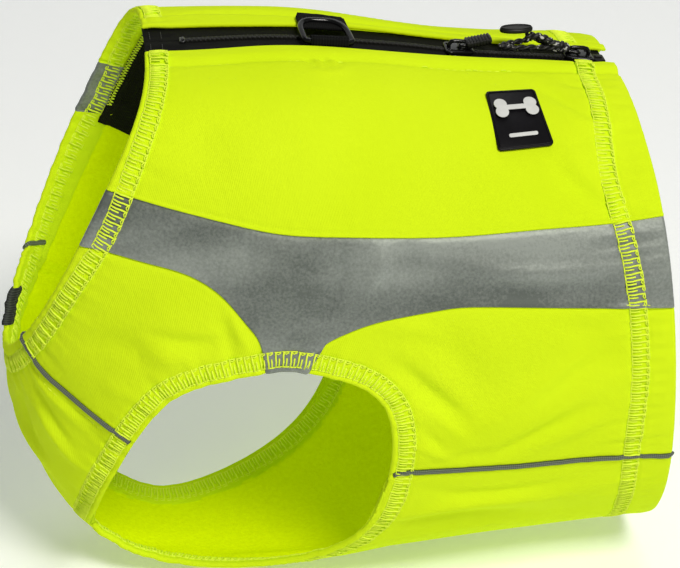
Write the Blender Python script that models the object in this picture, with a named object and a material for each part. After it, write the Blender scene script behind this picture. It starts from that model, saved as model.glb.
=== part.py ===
# A hi-vis softshell vest for a dog, zipped along the back, filled out as it is worn.
# +X runs from the neck to the rear hem, +Y to the dog's right side, +Z up. The origin is
# on the underside of the back, on the centre line. Lengths are in millimetres until a
# mesh is made.

import bpy
import bmesh
import numpy as np
from math import cos, pi, radians, sin
from mathutils import Matrix

mm = 0.001

# Cloth
wall = 1.8                  # softshell with its fleece back
seamInset = 0.2             # each panel stops this far short of its seam line
layGap = 0.3                # between a panel and what lies on or under it
tapeThick = 0.8
facingThick = 1.0

# Zip
tapeReach = 17.0            # from the centre line to the tape's outer edge
chainHalf = 2.9
chainTop = 1.3              # depth of the chain's top below the cloth's outer face
chainBottom = 3.6
frontSliderX = 31.0
rearSliderX = 79.0
sliderLength = 11.5
sliderWide = 9.4
sliderPost = 8.0            # length of the post between a slider's plates
plateThick = 1.5
bridgeLength = 8.4
bridgeHeight = 3.3
bridgeBar = 1.0
pullBar = 1.3               # diameter of a pull's crossbar
pullArm = (1.3, 2.4)        # inner and outer side of each arm, from the pull's middle
pullThick = 1.9
frontPull = {"length": 16.0, "width": 7.0, "tilt": 9.0, "link": 5.5}
rearPull = {"length": 25.0, "width": 8.6, "tilt": 11.0, "link": 11.0}

# Leash ring
ringX = -21.0
ringY = -7.4
ringRise = 1.5              # bar centre above the cloth's outer face
ringRod = 2.6
ringWidth = 21.0
ringDepth = 20.0
ringTilt = 7.0              # the bow stands this far up, on the right side
ringSlope = -5.5            # the back falls towards the rear
loopGap = 0.35              # round the bar
loopWall = 0.9
loopLength = 12.6
footReach = (-2.4, 3.4)     # the loop's foot on the tape, left and right of the bar
footDepth = (2.0, 3.3)      # its top and bottom below the bar's centre

# The body's form: one row for each ring of the garment, from the neck edge to the rear
# hem. The ring stands on a line from its top to its bottom point. "widest" is how far
# down the half width lies, "round" the exponent of each quarter, "lead" how far the
# sides run to the rear.
sectionColumns = ("station", "topX", "topZ", "bottomX", "bottomZ", "halfWidth", "widest",
                  "topRound", "bottomRound", "lead")
sections = (
    (0.0, -92.0, 9.5, -155.0, -116.0, 64.0, 0.42, 4.00, 1.70, -1.5),
    (0.2, -45.5, 8.5, -147.5, -166.0, 72.5, 0.44, 3.45, 1.99, 1.0),
    (0.4, -9.0, 5.0, -111.5, -214.0, 78.0, 0.46, 2.96, 2.21, 0.0),
    (0.6, 25.5, 0.5, -48.0, -223.5, 81.0, 0.46, 2.68, 2.25, 1.0),
    (0.8, 58.5, -3.0, 32.5, -217.0, 83.0, 0.43, 2.48, 2.11, 2.0),
    (1.0, 92.0, -6.5, 113.0, -212.5, 84.5, 0.39, 2.26, 2.03, 2.5),
)

# Seam lines: station, and girth from the centre of the back down the side
zipEdge = ((0.0, 10.5), (0.4, 10.0), (0.75, 9.0), (1.0, 7.5))
bandTop = ((0.0, 86.0), (0.12, 95.9), (0.2, 100.3), (0.325, 102.6), (0.43, 100.3),
           (0.62, 95.9), (0.78, 91.5), (0.91, 88.6), (1.0, 85.6))
bandFront = ((0.0, 110.5), (0.065, 115.5), (0.13, 120.3), (0.195, 124.1), (0.265, 130.3),
             (0.32, 138.0), (0.35, 142.8), (0.38, 148.8), (0.412, 161.0))
bandRear = ((0.476, 158.0), (0.475, 151.0), (0.482, 144.4), (0.51, 137.9), (0.56, 131.0),
            (0.63, 125.5), (0.685, 122.7), (0.795, 121.8), (0.93, 121.6), (1.0, 121.7))
pipingFront = ((0.0, 173.0), (0.08, 187.0), (0.165, 198.0), (0.23, 204.0), (0.282, 209.0))
pipingRear = ((0.651, 202.0), (0.68, 199.8), (0.735, 198.0), (0.81, 196.6), (0.87, 195.0),
              (0.935, 194.4), (1.0, 196.0))
facingLower = ((0.05, 118.0), (0.10, 125.0), (0.15, 132.0), (0.22, 139.0))

# The armhole's edge, clockwise as seen on the left side: place, station and girth
armhole = (
    ("front piping", 0.282, 209.0),
    ("front", 0.289, 186.0),
    ("front top", 0.333, 171.5),
    ("band front", 0.412, 161.0),
    ("band rear", 0.476, 158.0),
    ("rear top", 0.571, 162.0),
    ("rear", 0.628, 178.0),
    ("rear piping", 0.651, 202.0),
    ("lower rear", 0.657, 224.0),
    ("under rear", 0.643, 252.0),
    ("under", 0.580, 281.0),
    ("lowest", 0.470, 302.0),
    ("lower front", 0.388, 298.5),
    ("front corner", 0.336, 291.5),
    ("over corner", 0.312, 269.0),
    ("front edge", 0.295, 244.0),
    ("under piping", 0.287, 226.0),
)

# The largest folds: place, from and to as (station, girth) with girth below zero on the
# right side, breadth and height
folds = (
    ("rear back", (0.80, 62.0), (0.97, 26.0), 11.0, 1.3),
    ("rear back, trough", (0.86, 80.0), (0.99, 50.0), 9.0, -1.1),
    ("flank", (0.70, 186.0), (0.97, 148.0), 13.0, 1.8),
    ("flank, trough", (0.66, 170.0), (0.93, 134.0), 11.0, -1.4),
    ("belly rear", (0.68, 224.0), (0.95, 212.0), 10.0, 1.5),
    ("belly rear, trough", (0.70, 240.0), (0.98, 236.0), 10.0, -1.5),
    ("shoulder", (0.16, 172.0), (0.30, 140.0), 12.0, 1.7),
    ("shoulder, trough", (0.06, 160.0), (0.24, 160.0), 12.0, -1.4),
    ("chest", (0.04, 196.0), (0.24, 236.0), 11.0, 1.6),
    ("chest, trough", (0.10, 188.0), (0.26, 222.0), 8.0, -1.5),
    ("right rear back", (0.78, -52.0), (0.97, -34.0), 12.0, 1.3),
    ("right flank", (0.68, -178.0), (0.97, -158.0), 13.0, 1.7),
    ("right flank, trough", (0.66, -160.0), (0.92, -140.0), 11.0, -1.4),
    ("right shoulder", (0.10, -150.0), (0.30, -172.0), 12.0, 1.5),
    ("right chest", (0.05, -200.0), (0.22, -238.0), 11.0, 1.5),
    ("right belly rear", (0.70, -236.0), (0.96, -222.0), 10.0, -1.4),
)

# The neck tab: a tape folded over the neck edge, on the right side of the chest
tabGirth = (-196.5, -217.0)
tabOuter = 5.0              # how far each leg runs in from the edge
tabInner = 8.0
tabThick = 1.2

# The label's plate
labelPlace = (0.730, 47.5)
labelSize = (20.0, 27.0)
labelTilt = 9.0
labelThick = 1.2

# Counts of steps along and down each panel
stepsBand = {"front": 12, "armhole": 3, "rear": 15}
stepsArmhole = 17
rowsBack, rowsBand, rowsShoulder, rowsFlank, rowsBelly = 9, 4, 8, 8, 6

# The form's own grid
formStations = 121
formAround = 161            # points from the top to the bottom of a ring

colours = {
    "hi_vis_softshell": ((0.72, 0.95, 0.02), 0.80, 0.0),
    "reflective_fabric": ((0.30, 0.31, 0.32), 0.45, 0.2),
    "reflective_piping": ((0.17, 0.20, 0.17), 0.50, 0.1),
    "zip_tape": ((0.012, 0.012, 0.012), 0.85, 0.0),
    "zip_chain": ((0.010, 0.010, 0.011), 0.40, 0.0),
    "black_metal": ((0.012, 0.012, 0.013), 0.28, 0.9),
    "black_webbing": ((0.012, 0.012, 0.013), 0.80, 0.0),
    "black_rubber": ((0.018, 0.018, 0.018), 0.55, 0.0),
    "grey_tab": ((0.09, 0.09, 0.08), 0.60, 0.0),
}


def clearScene():
    for thing in list(bpy.data.objects):
        bpy.data.objects.remove(thing, do_unlink=True)


def makeMaterials():
    made = {}
    for name, (colour, roughness, metallic) in colours.items():
        material = bpy.data.materials.new(name)
        material.use_nodes = True
        shader = material.node_tree.nodes["Principled BSDF"]
        shader.inputs["Base Color"].default_value = (*colour, 1.0)
        shader.inputs["Roughness"].default_value = roughness
        shader.inputs["Metallic"].default_value = metallic
        made[name] = material
    return made


def smoothThrough(knots, values, at):
    """A natural cubic through the values, read at each of the places."""
    knots, values, at = np.asarray(knots), np.asarray(values, float), np.asarray(at, float)
    step = np.diff(knots)
    rule = np.eye(len(knots))
    slopes = np.zeros_like(values)
    for i in range(1, len(knots) - 1):
        rule[i, i - 1:i + 2] = step[i - 1], 2 * (step[i - 1] + step[i]), step[i]
        rise = (values[i + 1] - values[i]) / step[i] - (values[i] - values[i - 1]) / step[i - 1]
        slopes[i] = 6 * rise
    bend = np.linalg.solve(rule, slopes)
    k = np.clip(np.searchsorted(knots, at, side="right") - 1, 0, len(knots) - 2)
    shape = (-1,) + (1,) * (values.ndim - 1)
    h = step[k].reshape(shape)
    a = (knots[k + 1] - at).reshape(shape) / h
    b = 1 - a
    curved = ((a ** 3 - a) * bend[k] + (b ** 3 - b) * bend[k + 1]) * h * h / 6
    return a * values[k] + b * values[k + 1] + curved


def ringPoints(row):
    """One ring of the form from its top, down the left side, to its bottom."""
    angle = np.linspace(0, pi, 8 * formAround)
    across, along = np.sin(angle).clip(0, 1), np.cos(angle)
    upper = along >= 0
    power = 2 / np.where(upper, row["topRound"], row["bottomRound"])
    out, up = across ** power, np.abs(along) ** power
    height = row["topZ"] - row["bottomZ"]
    middle = row["topZ"] - height * row["widest"]
    z = middle + np.where(upper, (row["topZ"] - middle) * up, (row["bottomZ"] - middle) * up)
    fall = (row["topZ"] - z) / height
    x = row["topX"] + (row["bottomX"] - row["topX"]) * fall + row["lead"] * out
    return np.stack([x, -row["halfWidth"] * out, z], axis=1)


def makeForm():
    """The form as a grid of points and outward normals, and each station's half girth.

    The grid runs from the bottom, up the right side, over the top and down the left."""
    table = np.array(sections)
    stations = np.linspace(0, 1, formStations)
    rows = smoothThrough(table[:, 0], table, stations)
    grid, girths = [], []
    for values in rows:
        points = ringPoints(dict(zip(sectionColumns, values)))
        run = np.linalg.norm(np.diff(points, axis=0), axis=1)
        length = np.concatenate([[0.0], np.cumsum(run)])
        at = np.linspace(0, length[-1], formAround)
        left = np.stack([np.interp(at, length, points[:, k]) for k in range(3)], axis=1)
        right = left[:0:-1] * (1, -1, 1)
        grid.append(np.concatenate([right, left]))
        girths.append(length[-1])
    grid = np.array(grid)
    along = np.gradient(grid, axis=0)
    wrapped = np.concatenate([grid[:, -2:-1], grid, grid[:, 1:2]], axis=1)
    around = (wrapped[:, 2:] - wrapped[:, :-2]) / 2
    normal = np.cross(around, along)
    normal /= np.linalg.norm(normal, axis=2, keepdims=True)
    return grid, normal, np.array(girths)


formGrid, formNormal, formGirth = makeForm()


def halfGirth(station):
    return np.interp(station, np.linspace(0, 1, formStations), formGirth)


def readForm(grid, station, girth):
    """The grid at a station and a girth: below 0 on the right, past the bottom it wraps."""
    turn = girth / halfGirth(station)
    turn = np.where(turn > 1, turn - 2, turn)
    a = np.asarray(station) * (formStations - 1)
    b = (turn + 1) * (formAround - 1)
    i = np.clip(np.floor(a).astype(int), 0, formStations - 2)
    j = np.clip(np.floor(b).astype(int), 0, 2 * formAround - 3)
    fa, fb = (a - i)[..., None], (b - j)[..., None]
    near = grid[i, j] * (1 - fb) + grid[i, j + 1] * fb
    far = grid[i + 1, j] * (1 - fb) + grid[i + 1, j + 1] * fb
    return near * (1 - fa) + far * fa


def foldRise(points):
    """How far the folds lift the cloth at each point of the plain form."""
    rise = np.zeros(points.shape[:-1])
    for place, start, end, breadth, height in folds:
        t = np.linspace(0, 1, 13)
        path = readForm(formGrid, start[0] + (end[0] - start[0]) * t,
                        start[1] + (end[1] - start[1]) * t)
        gap = np.linalg.norm(points[..., None, :] - path, axis=-1)
        nearest = gap.argmin(axis=-1)
        taper = np.sin(pi * (nearest + 1) / (len(t) + 1))
        rise += height * taper * np.exp(-(gap.min(axis=-1) / breadth) ** 2)
    return rise


def clothPoints(stationGirth, depth=0.0):
    """Points of the cloth, with its folds, this far below its outer face."""
    station, girth = stationGirth[..., 0], stationGirth[..., 1]
    points = readForm(formGrid, station, girth)
    normal = readForm(formNormal, station, girth)
    lift = foldRise(points) - depth
    return points + normal * lift[..., None]


def line(table, steps):
    """A seam line as evenly spaced stations with their girths."""
    knots = np.array(table)
    at = np.linspace(knots[0, 0], knots[-1, 0], steps + 1)
    return np.stack([at, smoothThrough(knots[:, 0], knots[:, 1], at)], axis=1)


def evenly(curve, steps):
    """The same curve with its points evenly spaced on the cloth."""
    points = clothPoints(curve)
    run = np.concatenate([[0.0], np.cumsum(np.linalg.norm(np.diff(points, axis=0), axis=1))])
    at = np.linspace(0, run[-1], steps + 1)
    return np.stack([np.interp(at, run, curve[:, k]) for k in range(2)], axis=1)


def throughPoints(table, steps):
    """A smooth curve through a table of (station, girth), evenly spaced on the cloth."""
    knots = np.arange(len(table))
    fine = smoothThrough(knots, np.array(table), np.linspace(0, knots[-1], 40 * len(table)))
    return evenly(fine, steps)


def armholeEdge(first, last, steps):
    """The armhole's edge from one named place to another, clockwise."""
    names = [row[0] for row in armhole]
    points = np.array([row[1:] for row in armhole])
    ring = np.concatenate([points, points, points])
    start = names.index(first) + len(names)
    end = names.index(last) + len(names)
    if end < start:
        end += len(names)
    at = np.linspace(start, end, 400)
    return evenly(smoothThrough(np.arange(len(ring)), ring, at), steps)


def patch(top, bottom, left, right):
    """A grid of (station, girth) inside four border curves that share their corners."""
    s = np.linspace(0, 1, len(left))[:, None, None]
    t = np.linspace(0, 1, len(top))[None, :, None]
    ruled = (1 - s) * top[None] + s * bottom[None]
    sides = (1 - t) * left[:, None] + t * right[:, None]
    corners = ((1 - s) * (1 - t) * top[0] + (1 - s) * t * top[-1]
               + s * (1 - t) * bottom[0] + s * t * bottom[-1])
    return ruled + sides - corners


def inset(grid, amount=seamInset):
    """Draws the four borders of a grid in by this much on the cloth."""
    grid = grid.copy()
    for axis in (0, 1):
        rows = np.moveaxis(grid, axis, 0)
        for edge, inner in ((0, 1), (-1, -2)):
            span = clothPoints(rows[inner]) - clothPoints(rows[edge])
            length = np.linalg.norm(span, axis=-1, keepdims=True)
            rows[edge] += (rows[inner] - rows[edge]) * amount / length
    return grid


def straight(start, end, steps):
    t = np.linspace(0, 1, steps + 1)[:, None]
    return np.array(start) * (1 - t) + np.array(end) * t


def mirrored(grid):
    """The same place on the right side."""
    return grid * (1, -1)


def addMesh(name, points, faces, material):
    """One closed body with its faces outward, from points in millimetres."""
    mesh = bpy.data.meshes.new(name)
    shape = bmesh.new()
    corners = [shape.verts.new(np.asarray(point, float) * mm) for point in points]
    for face in faces:
        shape.faces.new([corners[k] for k in face])
    bmesh.ops.recalc_face_normals(shape, faces=shape.faces)
    if shape.calc_volume(signed=True) < 0:
        bmesh.ops.reverse_faces(shape, faces=shape.faces)
    shape.to_mesh(mesh)
    shape.free()
    mesh.materials.append(materials[material])
    mesh.shade_smooth()
    mesh.set_sharp_from_angle(angle=radians(40))
    thing = bpy.data.objects.new(name, mesh)
    bpy.context.scene.collection.objects.link(thing)
    return thing


def sheetFaces(rows, columns):
    """Faces of a closed wall: an outer grid, an inner grid and the rim between them."""
    count = rows * columns
    faces = []
    for j in range(rows - 1):
        for i in range(columns - 1):
            k = j * columns + i
            quad = (k, k + 1, k + columns + 1, k + columns)
            faces.append(quad)
            faces.append(tuple(c + count for c in reversed(quad)))
    rim = ([i for i in range(columns)]
           + [j * columns + columns - 1 for j in range(1, rows)]
           + [(rows - 1) * columns + i for i in range(columns - 2, -1, -1)]
           + [j * columns for j in range(rows - 2, 0, -1)])
    for k, corner in enumerate(rim):
        after = rim[(k + 1) % len(rim)]
        faces.append((after, corner, corner + count, after + count))
    return faces


def addWall(name, grid, outer, inner, material):
    """A wall between two depths below the cloth's outer face."""
    points = np.concatenate([clothPoints(grid, outer).reshape(-1, 3),
                             clothPoints(grid, inner).reshape(-1, 3)])
    return addMesh(name, points, sheetFaces(*grid.shape[:2]), material)


def seamLines():
    """Every seam's points, shared by the two panels that meet there."""
    n = stepsBand
    armTop = armholeEdge("band front", "band rear", n["armhole"])
    front = throughPoints(bandFront, n["front"])
    rear = throughPoints(bandRear, n["rear"])
    lower = np.concatenate([front, armTop[1:], rear[1:]])
    upperStations = np.concatenate([
        np.linspace(0, 0.405, n["front"] + 1),
        np.linspace(0.405, 0.5, n["armhole"] + 1)[1:],
        np.linspace(0.5, 1, n["rear"] + 1)[1:]])
    upper = np.array(bandTop)
    edge = np.array(zipEdge)
    return {
        "band front": front,
        "band rear": rear,
        "band lower": lower,
        "band upper": np.stack([upperStations,
                                smoothThrough(upper[:, 0], upper[:, 1], upperStations)], 1),
        "zip edge": np.stack([upperStations,
                              smoothThrough(edge[:, 0], edge[:, 1], upperStations)], 1),
        "piping front": throughPoints(pipingFront, n["front"]),
        "piping rear": throughPoints(pipingRear, n["rear"]),
        "armhole front": armholeEdge("front piping", "band front", rowsShoulder)[::-1],
        "armhole rear": armholeEdge("band rear", "rear piping", rowsFlank),
        "armhole under": armholeEdge("rear piping", "front piping", stepsArmhole)[::-1],
    }


def panelGrids(seams):
    """Each left-hand panel as a grid of (station, girth), up to its seam lines."""
    back = patch(seams["zip edge"], seams["band upper"],
                 straight(seams["zip edge"][0], seams["band upper"][0], rowsBack),
                 straight(seams["zip edge"][-1], seams["band upper"][-1], rowsBack))
    band = patch(seams["band upper"], seams["band lower"],
                 straight(seams["band upper"][0], seams["band lower"][0], rowsBand),
                 straight(seams["band upper"][-1], seams["band lower"][-1], rowsBand))
    shoulder = patch(seams["band front"], seams["piping front"],
                     straight(seams["band front"][0], seams["piping front"][0], rowsShoulder),
                     seams["armhole front"])
    flank = patch(seams["band rear"], seams["piping rear"], seams["armhole rear"],
                  straight(seams["band rear"][-1], seams["piping rear"][-1], rowsFlank))
    return {"back": back, "band": band, "shoulder": shoulder, "flank": flank}


def bellyGrid(seams):
    """The belly panel, from the left piping under the body to the right piping."""
    left = np.concatenate([seams["piping front"], seams["armhole under"][1:],
                           seams["piping rear"][1:]])
    run = np.linspace(0, 1, len(left))
    frontEnd = stepsBand["front"] / (len(left) - 1)
    armEnd = (stepsBand["front"] + stepsArmhole) / (len(left) - 1)
    middle = np.interp(run, (0, frontEnd, armEnd, 1), (0, 0.27, 0.67, 1))
    bottom = np.stack([middle, halfGirth(middle)], axis=1)
    half = patch(left, bottom, straight(left[0], bottom[0], rowsBelly),
                 straight(left[-1], bottom[-1], rowsBelly))
    other = half[-2::-1].copy()
    other[..., 1] = 2 * halfGirth(other[..., 0]) - other[..., 1]
    return np.concatenate([half, other])


def makePanels(seams):
    for place, grid in panelGrids(seams).items():
        material = "reflective_fabric" if place == "band" else "hi_vis_softshell"
        addWall(place + "_left", inset(grid), 0.0, wall, material)
        addWall(place + "_right", inset(mirrored(grid)), 0.0, wall, material)
    addWall("belly", inset(bellyGrid(seams)), 0.0, wall, "hi_vis_softshell")


def makePiping(name, seam):
    """A half-round cord of piping that stands on its seam."""
    breadth, height = 2.4, 1.1
    across = np.array((-1.0, -0.6, 0.0, 0.6, 1.0)) * breadth / 2
    arch = np.sqrt(np.clip(1 - (2 * across / breadth) ** 2, 0, 1))
    crown = layGap + 0.15 + (height - 0.15) * arch
    points = clothPoints(seam)
    along = np.gradient(points, axis=0)
    normal = readForm(formNormal, seam[:, 0], seam[:, 1])
    side = np.cross(normal, along)
    side /= np.linalg.norm(side, axis=1, keepdims=True)
    outer = [points + side * a + normal * c for a, c in zip(across, crown)]
    under = [points + side * a + normal * layGap for a in across]
    grid = np.concatenate([np.array(outer).reshape(-1, 3), np.array(under).reshape(-1, 3)])
    return addMesh(name, grid, sheetFaces(len(across), len(seam)), "reflective_piping")


def makeZip():
    """The two tapes, and the chain in three lengths between its sliders."""
    stations = np.concatenate([(0.0, 0.046, 0.056), np.linspace(0.1, 0.985, 26)])
    inner = np.where(stations < 0.05, 0.15, chainHalf + layGap)
    outer = np.full_like(stations, tapeReach)
    top = wall + layGap
    for side, turn in (("left", 1), ("right", -1)):
        grid = np.stack([np.stack([stations, (inner + (outer - inner) * t) * turn], 1)
                         for t in (0, 0.5, 1)])
        addWall("zip_tape_" + side, grid, top, top + tapeThick, "zip_tape")
    frontGap = sliderSpan(frontSliderX)
    rearGap = sliderSpan(rearSliderX)
    lengths = {"front": (0.06, frontGap[0], 18), "middle": (frontGap[1], rearGap[0], 12),
               "rear": (rearGap[1], 0.962, 3)}
    for place, (start, end, steps) in lengths.items():
        at = np.linspace(start, end, steps + 1)
        grid = np.stack([np.stack([at, np.full_like(at, g)], 1)
                         for g in (-chainHalf, 0.0, chainHalf)])
        addWall("zip_chain_" + place, grid, chainTop, chainBottom, "zip_chain")
    at = np.array((0.965, 0.983))
    grid = np.stack([np.stack([at, np.full_like(at, g)], 1) for g in (-3.1, 3.1)])
    addWall("zip_box", grid, chainTop - 0.5, chainBottom + 0.3, "black_rubber")


def stationAt(x):
    """The station whose top point lies at this x."""
    tops = formGrid[:, formAround - 1, 0]
    return float(np.interp(x, tops, np.linspace(0, 1, formStations)))


def sliderSpan(x):
    """Where the chain stops on each side of a slider's post."""
    half = sliderPost / 2 + layGap
    return stationAt(x - half), stationAt(x + half)


def backFrame(x):
    """The centre line's frame at x: its columns run along the zip, to the right and up."""
    station = stationAt(x)
    ahead = readForm(formGrid, np.array((station - 0.01, station + 0.01)), np.zeros(2))
    along = ahead[1] - ahead[0]
    along /= np.linalg.norm(along)
    up = np.cross(along, (0.0, 1.0, 0.0))
    centre = readForm(formGrid, np.array(station), np.array(0.0))
    frame = np.eye(4)
    frame[:3, 0], frame[:3, 1], frame[:3, 2], frame[:3, 3] = along, (0, 1, 0), up, centre * mm
    return Matrix(frame.tolist())


def prism(outline, low, high):
    """Points and faces of an outline in X and Y, drawn up from one height to another."""
    n = len(outline)
    points = [(x, y, low) for x, y in outline] + [(x, y, high) for x, y in outline]
    faces = [tuple(range(n)), tuple(range(2 * n - 1, n - 1, -1))]
    faces += [(k, (k + 1) % n, (k + 1) % n + n, k + n) for k in range(n)]
    return points, faces


def join(target, others):
    """Unites other solids with the target and removes them."""
    for other in others:
        union = target.modifiers.new("join", "BOOLEAN")
        union.operation = "UNION"
        union.solver = "EXACT"
        union.object = other
        bpy.context.view_layer.objects.active = target
        bpy.ops.object.modifier_apply(modifier=union.name)
        bpy.data.objects.remove(other, do_unlink=True)


def sliderOutline(grow=0.0):
    """The boat-shaped outline of a slider's plate, wide at -X."""
    half = sliderLength / 2
    stations = ((-half, 0.62), (-half + 1.2, 0.95), (-half + 3.0, 1.0), (0.8, 0.86),
                (half - 1.2, 0.74), (half, 0.5))
    side = [(x, (sliderWide / 2 + grow) * w) for x, w in stations]
    return side + [(x, -y) for x, y in reversed(side)]


def archProfile():
    """The bridge over a slider, seen from the side."""
    outer = [(bridgeLength / 2 * cos(a), bridgeHeight * sin(a))
             for a in np.linspace(0, pi, 13)]
    inner = [((bridgeLength / 2 - bridgeBar) * cos(a), (bridgeHeight - bridgeBar) * sin(a))
             for a in np.linspace(pi, 0, 11)]
    foot = -0.5
    half = bridgeLength / 2
    return ([(half, foot)] + outer + [(-half, foot), (bridgeBar - half, foot)] + inner
            + [(half - bridgeBar, foot)])


plateTop = -chainTop + layGap + plateThick      # above the cloth's outer face


def makeSlider(name, x, turn):
    """A slider round the chain: two plates, the post between them and the bridge."""
    low = -chainBottom - layGap
    outline = [(a * turn, b) for a, b in sliderOutline()]
    slider = addMesh(name, *prism(outline, plateTop - plateThick, plateTop), "black_metal")
    reach, half = sliderPost / 2, 2.4
    post = [(-reach, -half), (reach, -half), (reach, half), (-reach, half)]
    pieces = [addMesh("post", *prism(post, low - 0.5, plateTop - 0.5), "black_metal"),
              addMesh("back_plate", *prism(outline, low - 1.1, low), "black_metal")]
    side = archProfile()
    points, faces = prism(side, -0.9, 0.9)
    points = [(a, c, b + plateTop) for a, b, c in points]
    pieces.append(addMesh("bridge", points, faces, "black_metal"))
    join(slider, pieces)
    slider.matrix_world = backFrame(x)
    return slider


def hingeFrame(x, turn, tilt):
    """The pull's hinge under the bridge: its +X runs along the pull."""
    frame = backFrame(x)
    centre = frame @ Matrix.Translation((0, 0, (plateTop + 0.35 + pullBar / 2) * mm))
    place = Matrix.Translation(centre.translation)
    heading = Matrix.Rotation(0 if turn > 0 else pi, 4, "Z")
    return place @ heading @ Matrix.Rotation(radians(-tilt), 4, "Y")


def makePull(name, x, turn, size):
    """A pull on its crossbar: two arms, then the grip."""
    link, length, half = size["link"], size["length"], size["width"] / 2
    armIn, armOut = pullArm
    turnRound = np.linspace(0, 2 * pi, 13)[:-1]
    bar = [(pullBar / 2 * cos(a), pullBar / 2 * sin(a)) for a in turnRound]
    points, faces = prism(bar, -armOut, armOut)
    pull = addMesh(name, [(a, c, b) for a, b, c in points], faces, "black_rubber")
    pieces = []
    for side in (-1, 1):
        arm = [(-0.65, side * armIn), (link + 0.6, side * armIn), (link + 0.6, side * armOut),
               (-0.65, side * armOut)]
        pieces.append(addMesh("arm", *prism(arm, -0.6, 0.6), "black_rubber"))
    grip = [(link, -half * 0.8), (link + 1.2, -half)]
    for a in np.linspace(-pi / 2, pi / 2, 9):
        grip.append((length - 3.0 + 3.0 * cos(a), half * (0.72 + 0.28 * cos(a) ** 2) * sin(a)))
    grip += [(link + 1.2, half), (link, half * 0.8)]
    pieces.append(addMesh("grip", *prism(grip, -pullThick / 2, pullThick / 2), "black_rubber"))
    join(pull, pieces)
    pull.matrix_world = hingeFrame(x, turn, size["tilt"])
    return pull


def ringHinge():
    """The leash ring's bar: +X along the bar, +Y towards the bow."""
    centre = backFrame(ringX).translation
    place = Matrix.Translation((centre.x, ringY * mm, centre.z + ringRise * mm))
    return place @ Matrix.Rotation(radians(-ringSlope), 4, "Y")


def makeRing():
    """A D-shaped ring whose straight bar lies along the zip's left edge."""
    half, deep, corner = (ringWidth - ringRod) / 2, ringDepth - ringRod, 2.2
    route = [(x, 0.0) for x in np.linspace(-half + corner, half - corner, 5)]
    route += [(half - corner + corner * sin(a), corner - corner * cos(a))
              for a in np.linspace(0, pi / 2, 5)[1:]]
    route += [(half * cos(a), corner + 2.0 + (deep - corner - 2.0) * sin(a))
              for a in np.linspace(0, pi, 17)]
    route += [(-half + corner - corner * cos(a), corner - corner * sin(a))
              for a in np.linspace(0, pi / 2, 5)[:-1]]
    curve = bpy.data.curves.new("ring", "CURVE")
    curve.dimensions = "3D"
    curve.bevel_depth = ringRod / 2 * mm
    curve.bevel_resolution = 2
    bow = curve.splines.new("POLY")
    bow.points.add(len(route) - 1)
    for point, (x, y) in zip(bow.points, route):
        point.co = (x * mm, y * mm, 0.0, 1.0)
    bow.use_cyclic_u = True
    curve.materials.append(materials["black_metal"])
    ring = bpy.data.objects.new("ring", curve)
    bpy.context.scene.collection.objects.link(ring)
    ring.matrix_world = ringHinge() @ Matrix.Rotation(radians(ringTilt), 4, "X")
    return ring


def makeRingHolders():
    """The webbing loop round the ring's bar with its foot on the tape, and the webbing
    patch under the bow."""
    inner = ringRod / 2 + loopGap
    outer = inner + loopWall
    outline = []
    for a in np.linspace(-0.62 * pi, 1.25 * pi, 19):
        outline.append((outer * cos(a), outer * sin(a)))
    for a in np.linspace(1.25 * pi, -0.62 * pi, 17):
        outline.append((inner * cos(a), inner * sin(a)))
    points, faces = prism(outline, -loopLength / 2, loopLength / 2)
    loop = addMesh("ring_loop", [(c, a, b) for a, b, c in points], faces, "black_webbing")
    left, right = footReach
    sole = [(left, -footDepth[1]), (right, -footDepth[1]), (right, -footDepth[0]),
            (left, -footDepth[0])]
    points, faces = prism(sole, -loopLength / 2, loopLength / 2)
    join(loop, [addMesh("foot", [(c, a, b) for a, b, c in points], faces, "black_webbing")])
    loop.matrix_world = ringHinge()
    stations = np.linspace(stationAt(ringX - 11.5), stationAt(ringX + 11.0), 5)
    grid = np.stack([np.stack([stations, np.full_like(stations, -g)], 1)
                     for g in (10.8, 15.5, 20.5, 26.0)])
    addWall("ring_patch", grid, -layGap - 1.2, -layGap, "black_webbing")


def tangentPlace(station, girth, across, down):
    """Station and girth of points laid out in millimetres round a place on the cloth."""
    at = np.array(((station, girth), (station + 0.01, girth), (station, girth + 1.0)))
    base, ahead, below = readForm(formGrid, at[:, 0], at[:, 1])
    perStation, perGirth = (ahead - base) / 0.01, below - base
    level = perStation - perGirth * (perStation @ perGirth)
    slant = perStation @ perGirth
    du = across / np.linalg.norm(level)
    return np.stack([station + du, girth + down - du * slant], axis=-1)


def makeLabel():
    """The rubber label on the left side: a plate with round corners that follows the cloth."""
    (width, height), tilt = labelSize, radians(labelTilt)
    angle = np.linspace(0, 2 * pi, 29)[:-1]
    power = 2 / 7
    x = width / 2 * np.sign(np.cos(angle)) * np.abs(np.cos(angle)) ** power
    y = height / 2 * np.sign(np.sin(angle)) * np.abs(np.sin(angle)) ** power
    rings = []
    for part in (1.0, 0.55, 0.12):
        a, b = x * part, y * part
        across = a * cos(tilt) + b * sin(tilt)
        down = b * cos(tilt) - a * sin(tilt)
        rings.append(tangentPlace(*labelPlace, across, down))
    n = len(angle)
    flat = np.concatenate(rings)
    points = np.concatenate([clothPoints(flat, -layGap - labelThick),
                             clothPoints(flat, -layGap)])
    count = len(flat)
    faces = []
    for j in range(len(rings) - 1):
        for k in range(n):
            quad = (j * n + k, j * n + (k + 1) % n, (j + 1) * n + (k + 1) % n, (j + 1) * n + k)
            faces.append(quad)
            faces.append(tuple(c + count for c in reversed(quad)))
    middle = tuple(range((len(rings) - 1) * n, len(rings) * n))
    faces.append(middle)
    faces.append(tuple(c + count for c in reversed(middle)))
    faces += [((k + 1) % n, k, k + count, (k + 1) % n + count) for k in range(n)]
    return addMesh("label", points, faces, "black_rubber")


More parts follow.
